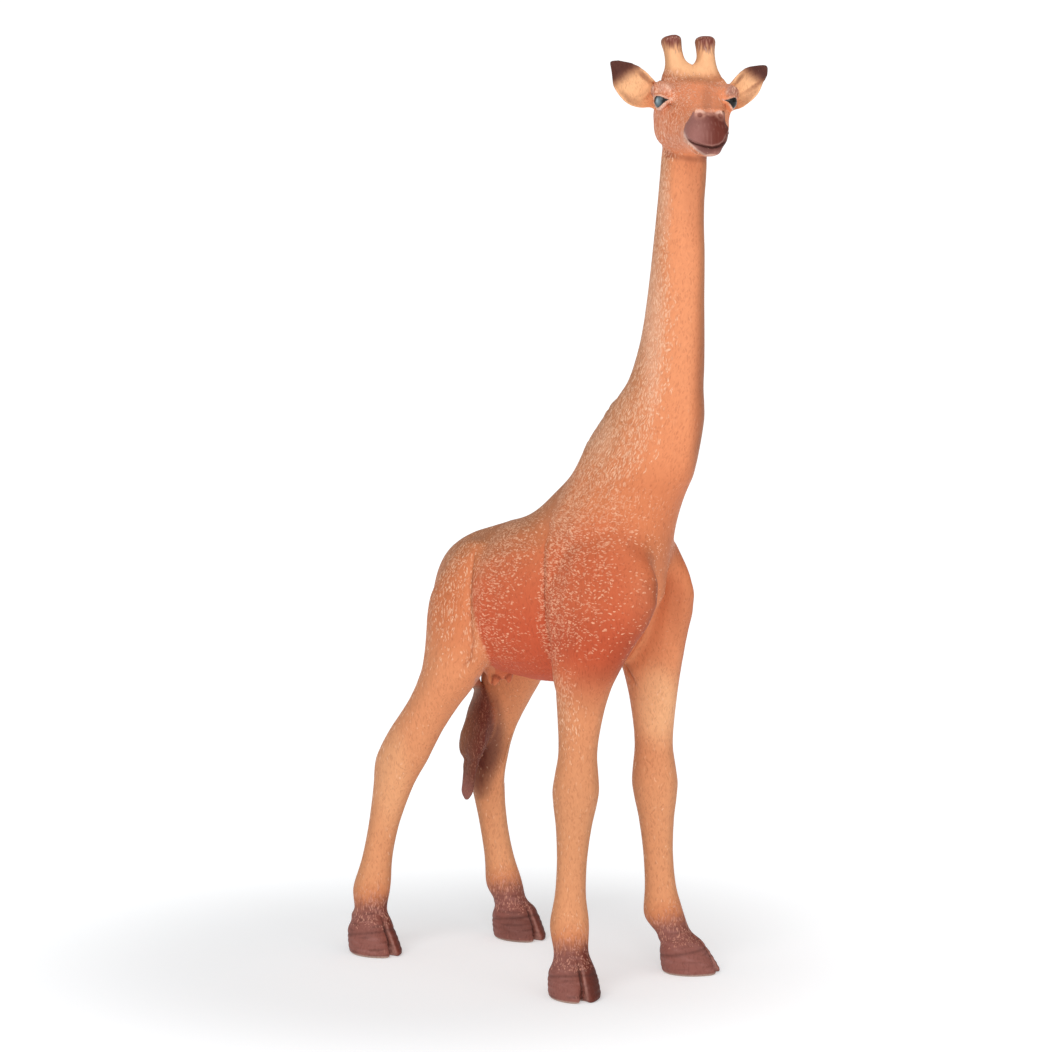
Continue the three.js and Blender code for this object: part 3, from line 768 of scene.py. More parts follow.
# Values of a mesh's points as an attribute
def store(mesh, name, values, kind="FLOAT", key="value"):
    made = mesh.attributes.new(name, kind, "POINT")
    made.data.foreach_set(key, values.astype(np.float32).ravel())


def storeColours(mesh, name, colours):
    store(mesh, name, np.insert(colours, 3, 1, axis=1), "FLOAT_COLOR", "color")


# Heights, in mm, where each leg's brown boot fades into the tan
boots = {"right_fore": (8, 11.5), "left_fore": (9, 13), "right_hind": (8, 11.5), "left_hind": (8.5, 12.5)}


def paintBody(points, normals):
    x, y, z = points.T
    sideways = points[:, [0, 2]]
    gap, _, hand = alongLine(sideways, bodyForms["creases"][1][0])
    inBarrel = ease(gap * hand, -0.5, 0.5)
    near = np.maximum(patch(points, (11.5, 68), (17, 16), 0.42), patch(points, (-5, 63), (17, 17), 0.45) * inBarrel)
    near *= (1 - ease(y, -8, -4) * ease(x, 15, 19)) * (1 - fade(z, 50, 63) * ease(x, 3, 6))
    far = np.maximum(patch(points, (5, 68), (14, 16), 0.42), patch(points, (-6, 63), (15, 17), 0.45) * inBarrel)
    far *= ease(normals[:, 1] + 0.8 * np.maximum(normals[:, 2], 0), 0.1, 0.6)
    onNear = ease(-y, -2.5, 1.5)
    red = (near * onNear + far * (1 - onNear)) * (1 - softNode(5, "right_hind_leg", "left_hind_leg"))
    red *= 1 - 0.22 * ease(z, 64, 74)
    back = neckBack(points)
    onNeck = ease(z, 92, 100)
    # The hollow beside the near shoulder lies in shade
    hollow = patch(points, (20, 68), (6, 13), 0.4) * ease(y, -9.5, -7.5) * fade(y, -5, -2) * ease(x, 12, 17)
    top = ease(normals[:, 2] - 0.3 * normals[:, 0], 0.3, 0.9) * ease(z, 60, 75) * (1 - onNeck)
    top *= 1 - 0.85 * ease(np.abs(y), 3, 6) * ease(x, 0, 7)
    # Painted shade darkens the two outlines, front left and rear right
    across = normals @ [0.72, 0.69, 0]
    edge = (0.38 * ease(across, -0.6, 0.25) + 0.12 * ease(across, 0.5, 0.9)) * ease(facingView(normals), -0.35, 0)
    edge *= ease(-y, 4, 6) * ease(x, 10, 14) * ease(z, 55, 60) * fade(z, 75, 79)
    paint = np.tile(ink("tan"), (len(points), 1))
    layAll(paint, 1, [
        (0.5 * ease(z, 30, 56), "orange"),
        (ease(z, 52, 70), "orange"),
        (0.7 * ease(-x, 14, 20) * ease(z, 58, 70), "russet"),
        (0.5 * ease(z, 74, 86) * fade(z, 92, 99), "russet"),
        (red, "red"),
        (ease(z, 86, 120), "apricot"),
        (0.45 * onNeck * ease(back, 0, 0.8), "tan"),
        (0.55 * hollow, "painted_shade"),
        (0.7 * np.maximum(top, onNeck * ease(back, 0.75, 0.98)), "olive"),
        # The outlines darkened as painted shade
        (0.4 * ease(across, 0.3, 1) * ease(z, 56, 66), "russet"),
        (ease(across, 0.5, 1) * (0.35 - 0.2 * ease(z, 56, 66) + 0.5 * onNeck), "olive"),
        (ease(-across, 0.45, 1) * (0.4 + 0.2 * onNeck) * (1 - 0.8 * red), "olive"),
        (edge, "painted_shade"),
    ])
    # Painted shade lies dark in the creases
    for line, _, _, _, lifted, dark in bodyForms["creases"]:
        gap, along, hand = alongLine(sideways, line)
        beyond = (hand == lifted) * 0.35 * bell(gap, 1.1)
        ends = taper(along, 0.35, 0.15) * ease(np.abs(y), 2, 5)
        lay(paint, ends * dark * np.maximum(bell(gap, 0.28), beyond), "painted_shade")
    # Painted shadow in a ring round the foot of each teat
    for middle, radius, _ in bodyForms["udder"][1:]:
        ring = bell(np.hypot(x - middle[0], y - middle[1]) / radius - 1.25, 0.3)
        lay(paint, 0.7 * ring * (np.abs(z - middle[2]) < 4) * ofNode("torso"), "painted_shade")
    fleckPaint = np.tile(ink("fleck"), (len(points), 1))
    lay(fleckPaint, 0.8 * red, "spark")
    return paint, fleckPaint


def paintHooves(points, paint, fleckPaint):
    bootMask = np.zeros(len(points))
    z = points[:, 2]
    for name, (low, high) in boots.items():
        ahead, out, up = toHoof(points, name).T
        near = (np.hypot(ahead, out) < 9) * (z < 25)
        edge = z - 0.35 * ahead + 0.35 * ripple(points, (0.7, 0.7, 5), 3)
        boot = fade(edge, low - 1, high) * near
        hairy = near * ease(up, 4.6, 6.4) * fade(edge, high - 1, high + 2.5)
        bootMask = np.maximum(bootMask, 0.6 * hairy)
        rise = up - hooves["coronet"] - hooves["coronetRise"] * ahead
        front = ease(ahead, -1, 3) * fade(up, 4.4, 8)
        lay(fleckPaint, np.maximum(boot, hairy), "pink")
        layAll(paint, near, [
            (0.5 * fade(edge, high - 2, high + 3.5), "russet"),
            (boot, "brown"),
            (0.45 * boot * ease(-out, -0.5, 3), "mauve"),
            (0.5 * boot * ease(ripple(points, (3, 3, 1.2), 5), 0.2, 1.3), "mauve"),
            # Painted shade: the far side of each boot is darker
            (0.85 * boot * ease(out, 0.2, 1.8) * ease(ahead, -2, 1), "oxblood"),
            (0.5 * boot * ease(out, 1.5, 3.5), "dark"),
            (0.6 * front * ease(out, 0.3, 0.5) * fade(out, 0.6, 1), "dust"),
            # Painted shade: dark lines in the cleft and in the coronet's groove
            (0.8 * front * fade(np.abs(out), 0.1, 0.34), "dark"),
            (0.4 * bell(rise + 0.4, 0.3), "dark"),
            (0.35 * boot * ease(ripple(points, (5, 5, 0.8), 6), 0.3, 1.4), "dark"),
            (0.7 * fade(up, 0.25, 0.6) * ease(-out, -1, 1), "horny"),
        ])
    return bootMask


def paintHead(points, normals, paint, fleckPaint):
    local = toHead(points)
    x, y, z = local.T
    onHead = ease(points[:, 2], 150, 153)
    # The crown and the horns are cream down to an arc over the forehead, and the tips dark and ragged
    crown = z - 0.05 * y * y - 0.35 * (x - 7) + 0.16 * ripple(points, (1, 1, 1), 9)
    horn = ease(crown, 4.4, 7.2) * ease(x, 0.5, 3) * onHead
    streak = ripple(points, (0.45, 0.45, 4), 11)
    tip = ease(z + 0.5 * streak, 10.2, 12.2)
    layAll(paint, onHead, [
        (1, "flesh"),
        (0.5 * ease(-z, 2, 7) * fade(x, 16, 20), "russet"),
        (0.45 * ease(-y, 1, 5) * fade(x, 17, 21), "russet"),
        (0.45 * ease(y, 1.5, 5) * ease(x, 6, 14), "apricot"),
        (0.6 * bell(crown - 5, 1.3), "olive"),
        (0.92 * horn, "cream"),
        (tip, "brown"),
        (0.55 * tip * ease(ripple(points, (0.8, 0.8, 1.6), 12), -0.1, 1.1), "oxblood"),
        (0.4 * tip * ease(-streak, 0.3, 1.1), "dust"),
        (0.5 * tip * ease(streak, 0.7, 1.2), "rim"),
    ])
    # Muzzle: mauve on its right side, oxblood on its front and left
    muzzle = ease(x - 0.25 * np.abs(z + 2) + 0.25 * ripple(points, (1, 1, 1), 13), 21, 22.2) * fade(z, 1, 1.6)
    muzzle = np.maximum(muzzle, ease(x, 20.5, 22) * fade(z, -5, -3.6) * fade(-z, 6.4, 7.4)) * onHead
    lip, alongLip, hand = alongLine(inView(points), face["lipSeen"])
    muzzle *= 1 - (hand > 0) * ease(lip, 0.3, 1) * (alongLip < 0.98)
    layAll(paint, muzzle, [
        (1, "mauve"),
        (0.95 * ease(y, -3, 1.2) * ease(z, -6, -3.8) * ease(x, 21.5, 24.5), "oxblood"),
        (0.6 * ease(y, 2, 3.6), "dark"),
        (0.16 * ease(ripple(points, (0.6, 0.6, 5), 14), 0, 1.4), "dust"),
    ])
    gap, along, below = onMouth(points, local)
    crack = ease(along, 0.02, 0.1) * ease(1 - along, 0.02, 0.1)
    rim = bell(lip - 0.4, 0.7) * ease(alongLip, 0.05, 0.2) * fade(alongLip, 0.8, 1) * ease(x, 16, 18)
    layAll(paint, onHead, [
        (0.3 * below * bell(gap - 0.5, 0.2) * fade(along, 0.12, 0.3), "rim"),
        (0.5 * (1 - below) * bell(gap - 0.42, 0.14) * ease(along, 0.2, 0.35), "dust"),
        (0.45 * crack * below * fade(gap, 0.2, 1), "dark"),
        (crack * fade(gap, 0.02 + 0.16 * along, 0.14 + 0.4 * along), "dark"),
        (0.6 * ease(x, 21, 23) * ease(-z, 6, 7.2), "rim"),
        (0.75 * rim, "rim"),
    ])
    dry = ease(ripple(points, (0.7, 0.7, 0.7), 31), -0.6, 0.9)
    for side in (-1, 1):
        ring = size(local * mirror(side) - face["nostril"])
        away, facing, spot, gap = onEye(local, side)
        ahead, up = spot.T
        close = (facing > 0.1) & (away < 4.2)
        ridge = close * ease(gap, 0.6, 0.9) * fade(gap, 1.8, 2.8) * ease(-ahead, -0.6, 0.8) * ease(up, -0.9, 0.2)
        lines = close * (gap > 0.7) * (gap < 2.3) * ease(up, 0.4, 0.7)
        lines *= ease(np.sin(gap * 2 * math.pi / 0.6), 0.2, 0.9) * dry
        under = (up < 0.2 - 0.35 * ahead) * fade(ahead, 1.1, 1.5)
        onLids = close * fade(away, 2, 2.5)
        width = (0.16 + 0.16 * under) * (1 if side < 0 else 0.6)
        layAll(paint, onHead, [
            (0.8 * fade(ring, 0.75, 1.35) * (0.3 + 0.7 * ease(z, 0.2, 1)) * (0.6 + 0.4 * dry), "pink"),
            # Painted highlight: the pale ring along the nostrils' tops
            (0.7 * fade(ring, 0.8, 1.3) * ease(ring, 0.4, 0.6) * ease(z, 0.9, 1.4), "rim"),
            (0.6 * fade(ring, 0.3, 0.6), "oxblood"),
            # Painted shade under the ridge over the eye, and painted highlights on the folds above it
            (0.65 * ridge, "brown"),
            (0.3 * lines * fade(ahead, 0.6, 1.2), "rim"),
            (onLids * (0.6 + 0.3 * under) * fade(gap, width, 1.8 * width), "rim"),
            (onLids * fade(gap, -0.04, 0.06), "black"),
        ])
    knob = size(local - [24.8, 0, 1.2])
    lay(paint, 0.7 * fade(knob, 0.5, 1.1) * onHead * (0.5 + 0.5 * dry), "pink")
    # Painted shade in the fold of the throat
    throat, along, _ = alongLine(local, face["throat"])
    lay(paint, 0.45 * fade(throat, 0.3, 1.1) * taper(along, 0.2, 0.2), "painted_shade")
    # Painted shade on the sides of the face and the horns, along their outlines
    side = ease(np.abs(normals @ headAxes[:, 1]), 0.45, 0.9) * onHead * (1 - muzzle)
    layAll(paint, side, [(0.4 * (1 - horn), "russet"), (0.45 * horn, "olive")])
    lay(fleckPaint, onHead, "haze")
    return muzzle, horn


def paintEars(points, normals, paint):
    local = toHead(points)
    for hand in eyeSides:
        along, up, q, across = onEar(local, hand)
        hollow = ease(normals @ headAxes[:, 0], -0.1, 0.35)
        edge = ease(np.abs(normals @ headAxes @ across), 0.35, 0.8) * ease(q, 0.15, 0.5)
        tip = ease(q + 0.05 * up + 0.012 * ripple(points, (1, 1, 1), 41), 0.5, 0.84)
        gap, _, _ = alongLine(np.stack([along, up], 1), ears["fold"])
        layAll(paint, softNode(3, hand + "_ear"), [
            (1, "cream"),
            (ears["glow"][hand] * fade(q, 0.1, 0.45), "apricot"),
            (0.75 * (1 - hollow), "orange"),
            (np.maximum(0.95 * tip, 0.7 * edge), "brown"),
            (0.85 * ease(q + 0.04 * up, 0.62, 0.85) * (0.5 + 0.5 * hollow), "dark"),
            # Painted shade beside the fold
            (0.3 * hollow * bell(gap - 0.35, 0.35), "olive"),
        ])


# The tuft's dark core and the shade that it throws on the leg run into one another: row, column, half width, strength
tuftShade = {
    "rows": [690, 705, 730, 750, 765, 778, 792, 802],
    "columns": [483, 484, 485, 482, 480, 479, 480, 481],
    "halves": [9, 11, 13, 15, 13, 10, 7, 5],
    "strengths": [0.4, 0.95, 1, 1, 1, 0.8, 0.55, 0],
}


def paintTuft(points, normals, paint):
    mine = softNode(6, "tail_tuft")
    leg = softNode(6, "left_hind_leg") * (points[:, 2] < 53)
    column, row = inView(points).T
    keys = ("columns", "halves", "strengths")
    middle, half, strength = [np.interp(row, tuftShade["rows"], tuftShade[key]) for key in keys]
    off = (column - middle) / half
    seen = ease(facingView(normals), -0.2, 0.1)
    layAll(paint, mine, [
        (1 - seen, "umber"),
        (seen * fade(off, 0.3, 1.5), "umber"),
        (0.8 * seen * fade(off, -1.2, -0.3) * ease(-row, -775, -755), "olive"),
        (0.7 * fade(row, 700, 722) * fade(off, -0.6, 0.1), "horny"),
        (0.85 * ease(row, 768, 780) * fade(off, -1.2, -0.4), "mauve"),
    ])
    both = np.maximum(mine, leg) * seen * strength
    core = both * fade(np.abs(off), 0.1, 0.95)
    layAll(paint, 1, [
        (0.9 * both * fade(np.abs(off), 0.8, 2.1), "umber"),
        (0.6 * mine * seen * ease(off, 0.4, 1.1) * fade(row, 735, 760), "russet"),
        (core * (0.51 + 0.34 * ease(ripple(points, (1, 1, 3), 22), -0.8, 0.8)), "oxblood"),
    ])
    return mine


# Touches on the seen side, some the paint's own tones and some painted light and shade: column, row, reach across and
# down, strength and ink
touches = [
    (706, 420, 16, 150, 0.32, "painted_shade"),  # throat side of the neck
    (695, 200, 14, 50, 0.12, "painted_shade"),
    # Painted highlight down the middle of the neck
    (652, 325, 12, 95, 0.38, "salmon"),
    (600, 440, 16, 24, 0.2, "salmon"),
    (672, 572, 16, 45, 0.14, "painted_shade"),  # chest and far shoulder
    (684, 615, 16, 40, 0.2, "painted_shade"),
    # Painted light on the far foreleg, which lifts the shade that lies on it
    (657, 705, 26, 44, 0.62, "cream"),  # far foreleg
    (590, 690, 24, 32, 0.22, "painted_shade"),  # near foreleg
    (590, 640, 40, 30, 0.1, "painted_shade"),
    (578, 800, 26, 120, 0.18, "olive"),
    (452, 622, 26, 40, 0.35, "russet"),  # haunch
    (517, 928, 22, 18, 0.4, "dark"),  # far hind hoof
    (594, 985, 10, 22, 0.35, "dark"),  # near fore hoof
    (652, 90, 3.5, 9, 0.6, "mauve"),  # brows
    (666, 88, 10, 7, 0.3, "rim"),
    (703, 152.5, 12, 6, 0.4, "dark"),  # chin
    (478, 682, 4, 7, 0.7, "dust"),  # tail above its tuft
    (711, 155.5, 8, 1.8, 0.6, "rim"),  # lower lip
    (664, 205, 8, 40, 0.3, "salmon"),  # mane side of the neck
    (392, 780, 20, 60, 0.25, "cream"),  # near hind shank
    (505, 840, 20, 50, 0.15, "cream"),
    (731, 91, 7, 8, 0.65, "dust"),  # far brow
    (737, 92, 2.5, 8, 0.5, "brown"),
    (707, 101, 6, 18, 0.22, "umber"),  # forehead
    (728, 106, 4.5, 12, 0.35, "tan"),
]


def paintTouches(points, normals, paint):
    seen = inView(points)
    facing = ease(facingView(normals), 0, 0.25)
    for column, row, across, down, strength, name in touches:
        off = size((seen - [column, row]) / [across, down])
        lay(paint, strength * facing * fade(off, 0.4, 1.2), name)


# How thick the cream flecks lie, how dark the strokes of painted shade between them, and which way they lie
def fleckMasks(points, normals, muzzle, horn, tuftMine):
    x, y, z = points.T
    back = neckBack(points)
    onNeck = ease(z, 88, 96) * fade(z, 150, 153)
    onHead = ease(z, 150, 153)
    onBody = ease(z, 54, 62) * fade(z, 88, 96)
    legs = fade(z, 54, 62)
    plain = (1 - muzzle) * (1 - horn)
    shoulder = (0.95 - 0.5 * ease(x, 5, 14) - 0.35 * ease(x, 14, 24)) * ease(x, 0.5, 2) * ease(z, 56, 62)
    shoulder *= np.maximum(ease(-y, -2, 2), ease(normals[:, 1], 0.2, 0.6)) * (1 - ease(x, 7, 12) * fade(z, 60, 67))
    barrel = 0.8 * fade(x, -3, 1) * ease(x, -17, -14.5) * (0.2 + 0.6 * ease(-x, 1, 14) + 0.3 * ease(z, 72, 80))
    haunch = fade(x, -20, -15) * (0.15 + 0.45 * ease(z, 56, 68))
    wide = fade(z, 118, 142) * ease(z, 88, 100)
    flecks = onNeck * ease(back, -0.5 - 0.42 * wide, 0.2 - 0.6 * wide)
    flecks += onBody * np.maximum(np.maximum(shoulder, barrel), haunch)
    flecks += legs * (0.04 + 0.6 * ease(-normals[:, 0], 0.1, 0.8)) * ease(z, 8, 12)
    upper = legs * ease(z, 40, 54) * ease(x, 0, 6) * fade(x, 11, 15) * ease(-y, 4, 8)
    flecks = np.maximum(flecks, 0.9 * upper)
    local = toHead(points)
    flecks += onHead * (0.14 + 0.76 * ease(-local[:, 1], 0, 4.5)) * plain
    brow = np.hypot((local[:, 0] - 9.4) / 3.6, (local[:, 2] - 3.6) / 2.4)
    flecks = np.maximum(flecks, onHead * fade(brow, 0.7, 1.1) * ease(np.abs(y), 0, 1) * (1 - horn))
    flecks *= 1 - ofNode("right_ear", "left_ear")
    flecks = np.where(tuftMine > 0.5, 0.45 + 0.4 * ease(-normals[:, 0], 0, 0.8), flecks)
    stroke_shade = 0.5 + 0.3 * legs + 0.2 * onNeck + 0.4 * onHead
    return flecks, stroke_shade * plain, onBody * ease(x, -15, -12) * (1 - 0.5 * ease(z, 80, 90))


# Shader maths: a wire is a socket that adds its nodes as it is reckoned with, and a | b is the larger of two
class Wire:
    def __init__(self, board, socket):
        self.board = board
        self.socket = socket

    def reckon(self, operation, first, second):
        return self.board.add("Math", {0: first, 1: second}, operation=operation)

    def __add__(self, other):
        return self.reckon("ADD", self, other)

    def __sub__(self, other):
        return self.reckon("SUBTRACT", self, other)

    def __rsub__(self, other):
        return self.reckon("SUBTRACT", other, self)

    def __mul__(self, other):
        return self.reckon("MULTIPLY", self, other)

    def __or__(self, other):
        return self.reckon("MAXIMUM", self, other)


class Board:
    def __init__(self, name):
        self.material = bpy.data.materials.new(name)
        self.material.use_nodes = True
        self.tree = self.material.node_tree

    def fill(self, node, values):
        for key, value in values.items():
            if isinstance(value, Wire):
                self.tree.links.new(value.socket, node.inputs[key])
            else:
                node.inputs[key].default_value = value

    # One node: its type, the values or wires of its sockets, which output is wanted, and its settings
    def add(self, kind, values, output=0, **settings):
        node = self.tree.nodes.new("ShaderNode" + kind)
        for key, value in settings.items():
            setattr(node, key, value)
        self.fill(node, values)
        return Wire(self, node.outputs[output])

    def dress(self, **values):
        self.fill(self.tree.nodes["Principled BSDF"], {key.replace("_", " "): value for key, value in values.items()})

    def attribute(self, name, output):
        return self.add("Attribute", {}, output, attribute_name=name)

    def mix(self, factor, first, second):
        return self.add("Mix", {0: factor, 6: first, 7: second}, 2, data_type="RGBA")

    def scale(self, vector, factors):
        return self.add("VectorMath", {0: vector, 1: factors}, operation="MULTIPLY")

    def shift(self, vector, way):
        return self.add("VectorMath", {0: vector, 1: way}, operation="ADD")

    def noise(self, vector, detail=2, output=0, scale=1):
        return self.add("TexNoise", {"Vector": vector, "Scale": scale, "Detail": detail}, output)

    # 0 at low, 1 at high, smooth between
    def step(self, value, low, high):
        limits = {"Value": value, 1: low, 2: high, 3: 0, 4: 1}
        return self.add("MapRange", limits, interpolation_type="SMOOTHSTEP")


coatLook = {
    "upright": (0.29, 0.29, 1.15),  # mm, the cell that each standing stroke has
    "level": (0.85, 0.46, 0.31),
    "levelEdge": (0.52, 0.28),
    "fleckEdge": (0.54, 0.28),
    "wander": 1.6,
    "roughness": 0.56,
    "specular": 0.16,
    "bump": 0.6,
    "reliefHeight": 0.14,
}


# Strokes of one kind: an oval in some of the cells of a stretched pattern
def strokes(board, place, cell, density, edge, shift):
    moved = board.shift(place, (shift, shift * 0.7, shift * 1.3))
    cells = {"Vector": board.scale(moved, tuple(1 / side for side in cell)), "Scale": 1}
    chance = board.add("TexVoronoi", cells, "Color")
    red = board.add("SeparateColor", {0: chance}, "Red")
    green = board.add("SeparateColor", {0: chance}, "Green")
    near = board.step(board.add("TexVoronoi", cells, "Distance"), *edge)
    return near * board.step(density - red, -0.03, 0.05) * (green * 0.65 + 0.35)


def makeCoat(look):
    board = Board("coat")
    paint, fleckPaint = board.attribute("paint", "Color"), board.attribute("fleckPaint", "Color")
    flecks, stroke_shade, lying = [board.attribute(key, "Fac") for key in ("flecks", "strokes", "lying")]
    place = board.attribute("hair", "Vector")
    drift = board.noise(board.scale(place, (0.5, 0.5, 0.5)), 2, "Color")
    place = board.shift(place, board.scale(drift, (look["wander"],) * 3))
    edge = look["fleckEdge"]
    standing = strokes(board, place, look["upright"], flecks, edge, 0)
    standing |= strokes(board, place, look["upright"], flecks * 0.7, edge, 7.3)
    flat = strokes(board, place, look["level"], flecks, look["levelEdge"], 3.1)
    flat |= strokes(board, place, look["level"], flecks * 0.9, look["levelEdge"], 11.9)
    broken = board.noise(board.scale(place, (3.4, 3.4, 2.2)))
    marks = (standing * (1 - lying) + flat * lying) * board.step(broken, 0.25, 0.48)
    glints = strokes(board, place, (0.3, 0.3, 0.9), 0.5, edge, 17.1)
    shade = strokes(board, place, (0.32, 0.32, 1.1), stroke_shade, edge, 5.7)
    fine = board.noise(board.scale(place, (2.2, 2.2, 0.8)), 3)
    darker = board.scale(paint, (0.62, 0.52, 0.5))
    lighter = board.scale(paint, (1.14, 1.2, 1.25))
    # Painted shade: dark strokes, and a darker ground where the flecks lie thick, between the raised hairs
    colour = board.mix(shade * 0.45, paint, darker)
    for share, other in (
        (board.step(fine, 0.35, 0.75) * 0.16, darker),
        (glints * 0.3, lighter),
        (flecks * 0.16, darker),
        (marks * 0.8, fleckPaint),
    ):
        colour = board.mix(share, colour, other)
    relief = {
        "Strength": look["bump"],
        "Distance": look["reliefHeight"] * mm,
        "Height": marks * 0.6 + fine * 0.5 - shade * 0.3,
    }
    board.dress(
        Base_Color=colour,
        Roughness=fine * 0.15 + (look["roughness"] - 0.08),
        Specular_IOR_Level=look["specular"],
        Normal=board.add("Bump", relief),
    )
    return board.material


# Hair place: the neck's lean is taken out, so that strokes follow it
def hairPlace(points):
    place = points.copy()
    place[:, 0] -= np.interp(points[:, 2], neckRise, neckAhead)
    # The strokes are finer on the head and the tuft
    foot = [0, 0, skinCare["headFoot"]]
    finer = 0.08 * ease(points[:, 2], 150, 153) + 0.4 * ofNode("tail_tuft")
    return foot + (place - foot) * (1 + finer)[:, None]


def paintSkin(mesh):
    points, normals = getPoints(mesh), getNormals(mesh)
    paint, fleckPaint = paintBody(points, normals)
    bootMask = paintHooves(points, paint, fleckPaint)
    muzzle, horn = paintHead(points, normals, paint, fleckPaint)
    paintTouches(points, normals, paint)
    paintEars(points, normals, paint)
    tuftMine = paintTuft(points, normals, paint)
    lay(fleckPaint, tuftMine, "hazel")
    flecks, stroke_shade, lying = fleckMasks(points, normals, muzzle, horn, tuftMine)
    storeColours(mesh, "paint", paint)
    storeColours(mesh, "fleckPaint", fleckPaint)
    for name, values in {"flecks": np.maximum(flecks, bootMask), "strokes": stroke_shade, "lying": lying}.items():
        store(mesh, name, np.clip(values, 0, 1))
    store(mesh, "hair", hairPlace(points), "FLOAT_VECTOR", "vector")


paintSkin(skin.data)
coat = makeCoat(coatLook)
print("skin painted")


# Which piece each face goes to, with its borders smoothed
def labelFaces(skin, names):
    edges = getEdges(skin.data)
    score = np.stack([ofNode(name) for name in names], 1)
    score[:, names.index("head")] |= ofNode("right_eye", "left_eye")
    border = np.zeros(len(owners))
    border[edges[owners[edges[:, 0]] != owners[edges[:, 1]]]] = 1
    score = relax(score.astype(float), edges, 14, 0.5 * (relax(border, edges, 7) > 0))
    corners = read(skin.data.loops, "vertex_index", 1, np.int32)[:, 0]
    starts = read(skin.data.polygons, "loop_start", 1, np.int32)[:, 0]
    return np.add.reduceat(score[corners], starts, axis=0).argmax(1)


def partSkin(skin):
    names = [name for name in skinNodes if not name.endswith("_eye")]
    labels = labelFaces(skin, names)
    store(skin.data, "outward", getNormals(skin.data), "FLOAT_VECTOR", "vector")
    for name in names:
        skin.data.materials.append(bpy.data.materials.new(name))
    skin.data.polygons.foreach_set("material_index", labels.astype(np.int32))
    with editing(skin):
        bpy.ops.mesh.separate(type="MATERIAL")
    pieces = {obj.data.materials[0].name: obj for obj in bpy.context.selected_objects}
    for name, obj in pieces.items():
        obj.name = obj.data.name = name + "_skin"
    return pieces


# The open edges of a parted skin are turned inwards and capped
def closeSkin(obj):
    mesh = obj.data
    count = len(mesh.vertices)
    with editing(obj):
        bpy.ops.mesh.select_mode(type="EDGE")
        bpy.ops.mesh.select_all(action="DESELECT")
        bpy.ops.mesh.select_non_manifold(extend=False)
        bpy.ops.mesh.mark_sharp()
        bpy.ops.mesh.extrude_edges_move()
    points = getPoints(mesh)
    points[count:] -= read(mesh.attributes["outward"].data, "vector", 3)[count:] * skinCare["wall"]
    setPoints(mesh, points)
    faces = len(mesh.polygons)
    with editing(obj):
        bpy.ops.mesh.select_all(action="SELECT")
        bpy.ops.mesh.fill_holes(sides=0)
        bpy.ops.mesh.select_all(action="DESELECT")
        bpy.ops.mesh.select_mode(type="FACE")
    mesh.polygons.foreach_set("select", np.arange(len(mesh.polygons)) >= faces)
    with editing(obj):
        bpy.ops.mesh.poke()
        bpy.ops.mesh.select_all(action="SELECT")
        bpy.ops.mesh.normals_make_consistent(inside=False)
    bpy.ops.object.shade_smooth(keep_sharp_edges=True)


pieces = partSkin(skin)
for name, obj in pieces.items():
    closeSkin(obj)
    obj.data.materials.clear()
    obj.data.materials.append(coat)
    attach(obj, "root")
    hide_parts(name)
    print(name, len(obj.data.polygons))
print("skin parted")


# Gloss balls between the lids, with a clouded patch of light painted on the near one as a painted reflection
def makeEye(hand):
    centre, gaze, _, _ = eyeFrame(eyeSides[hand])
    place = fromHead(centre[None])[0] * mm
    bpy.ops.mesh.primitive_uv_sphere_add(segments=72, ring_count=48, radius=eyes["radius"] * mm, location=tuple(place))
    ball = bpy.context.object
    ball.name = hand + "_eyeball"
    bpy.ops.object.transform_apply(location=True, rotation=True, scale=True)
    local = toHead(getPoints(ball.data))
    off = local - centre
    local += off * (0.05 * ease(off @ gaze / eyes["radius"], 0.6, 0.9))[:, None]  # the bulge over the pupil
    setPoints(ball.data, fromHead(local))
    ahead, up = onEye(local, eyeSides[hand])[2].T
    paint = np.tile(ink("black"), (len(local), 1))
    # The painted reflection: a clouded steel patch with a pale glass spot in it
    layAll(paint, eyes["cloud"][hand], [
        (0.8 * fade(np.hypot((ahead - 0.05) / 0.6, (up + 0.1) / 0.9), 0.1, 1.5), "steel"),
        (0.6 * fade(np.hypot((ahead + 0.15) / 0.25, (up - 0.05) / 0.5), 0.3, 1.2), "glass"),
    ])
    storeColours(ball.data, "paint", paint)
    bpy.ops.object.shade_smooth()
    ball.data.materials.append(gloss)
    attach(ball, "root")
    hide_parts(hand + "_eye")


def makeGloss():
    board = Board("gloss")
    dust = board.noise(board.add("TexCoord", {}, "Object"), scale=2200)
    board.dress(
        Base_Color=board.attribute("paint", "Color"),
        Roughness=dust * 0.08 + 0.06,
        Specular_IOR_Level=0.25,
        Coat_Weight=0.15,
        Coat_Roughness=0.04,
    )
    return board.material


gloss = makeGloss()
for hand in eyeSides:
    makeEye(hand)
print("eyes made")
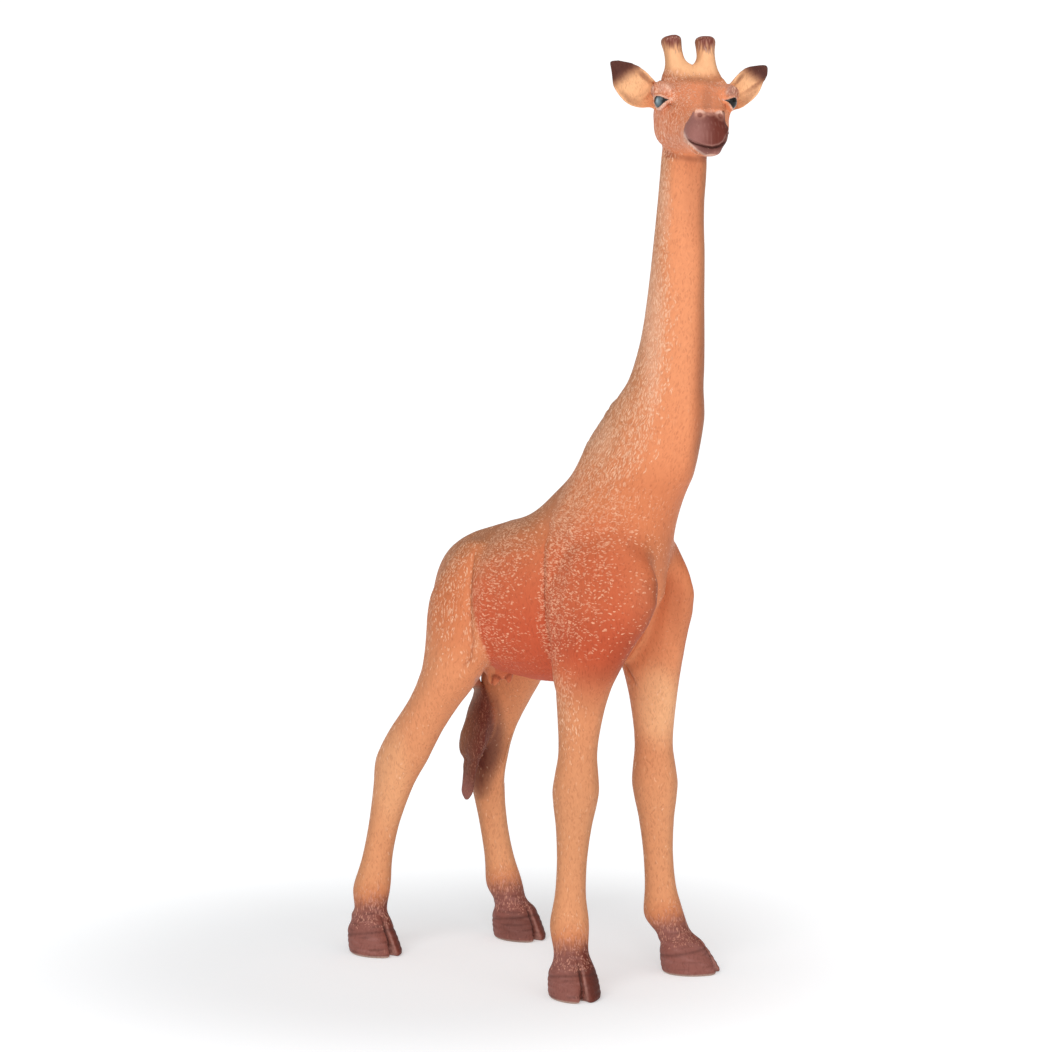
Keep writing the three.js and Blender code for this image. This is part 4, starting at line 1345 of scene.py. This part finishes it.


# The floor glows a little as painted light, and less near the figure, which is a painted shadow, so that it reads as
# white paper with a soft grey foot
paper = {
    "white": (0.702, 0.72, 0.736),
    "glow": (0.35, 0.6),
    "middle": (-26, -12),
    "reach": (36, 106),
}


def addFloor():
    bpy.ops.mesh.primitive_plane_add(size=30)
    floor = bpy.context.object
    floor.name = "floor"
    board = Board("floor")
    moved = board.shift(board.add("TexCoord", {}, "Object"), (-paper["middle"][0] * mm, -paper["middle"][1] * mm, 0))
    away = board.add("VectorMath", {0: moved}, "Value", operation="LENGTH")
    low, high = paper["glow"]
    far = board.step(away, paper["reach"][0] * mm, paper["reach"][1] * mm)
    board.dress(
        Base_Color=(*paper["white"], 1),
        Roughness=0.9,
        Specular_IOR_Level=0,
        Emission_Color=board.mix(far, (low, low, low, 1), (high, high, high, 1)),
        Emission_Strength=1,
    )
    floor.data.materials.append(board.material)


addFloor()

# Broad soft lamps, and a white surround that lights less than it shows
studio = {
    "lamps": {
        "key": ((0.45, -0.85, 0.7), 1.4, 45),
        "fill": ((0.98, -0.25, 0.35), 0.55, 60),
    },
    "ambient": 0.4,
}


def addSun(name, place, power, spread):
    lamp = bpy.data.lights.new(name, "SUN")
    lamp.energy = power
    lamp.angle = math.radians(spread)
    aim(lamp, -Vector(place))


for name, (place, power, spread) in studio["lamps"].items():
    addSun(name, place, power, spread)


def addSurround():
    world = bpy.data.worlds.new("studio")
    bpy.context.scene.world = world
    world.use_nodes = True
    nodes, links = world.node_tree.nodes, world.node_tree.links
    glow, shown = nodes["Background"], nodes.new("ShaderNodeBackground")
    glow.inputs["Strength"].default_value = studio["ambient"]
    shown.inputs["Color"].default_value = glow.inputs["Color"].default_value = (1, 1, 1, 1)
    path, both = nodes.new("ShaderNodeLightPath"), nodes.new("ShaderNodeMixShader")
    links.new(path.outputs["Is Camera Ray"], both.inputs[0])
    links.new(glow.outputs[0], both.inputs[1])
    links.new(shown.outputs[0], both.inputs[2])
    links.new(both.outputs[0], nodes["World Output"].inputs["Surface"])


addSurround()
bpy.context.scene.view_settings.view_transform = "Standard"
print("studio lit")
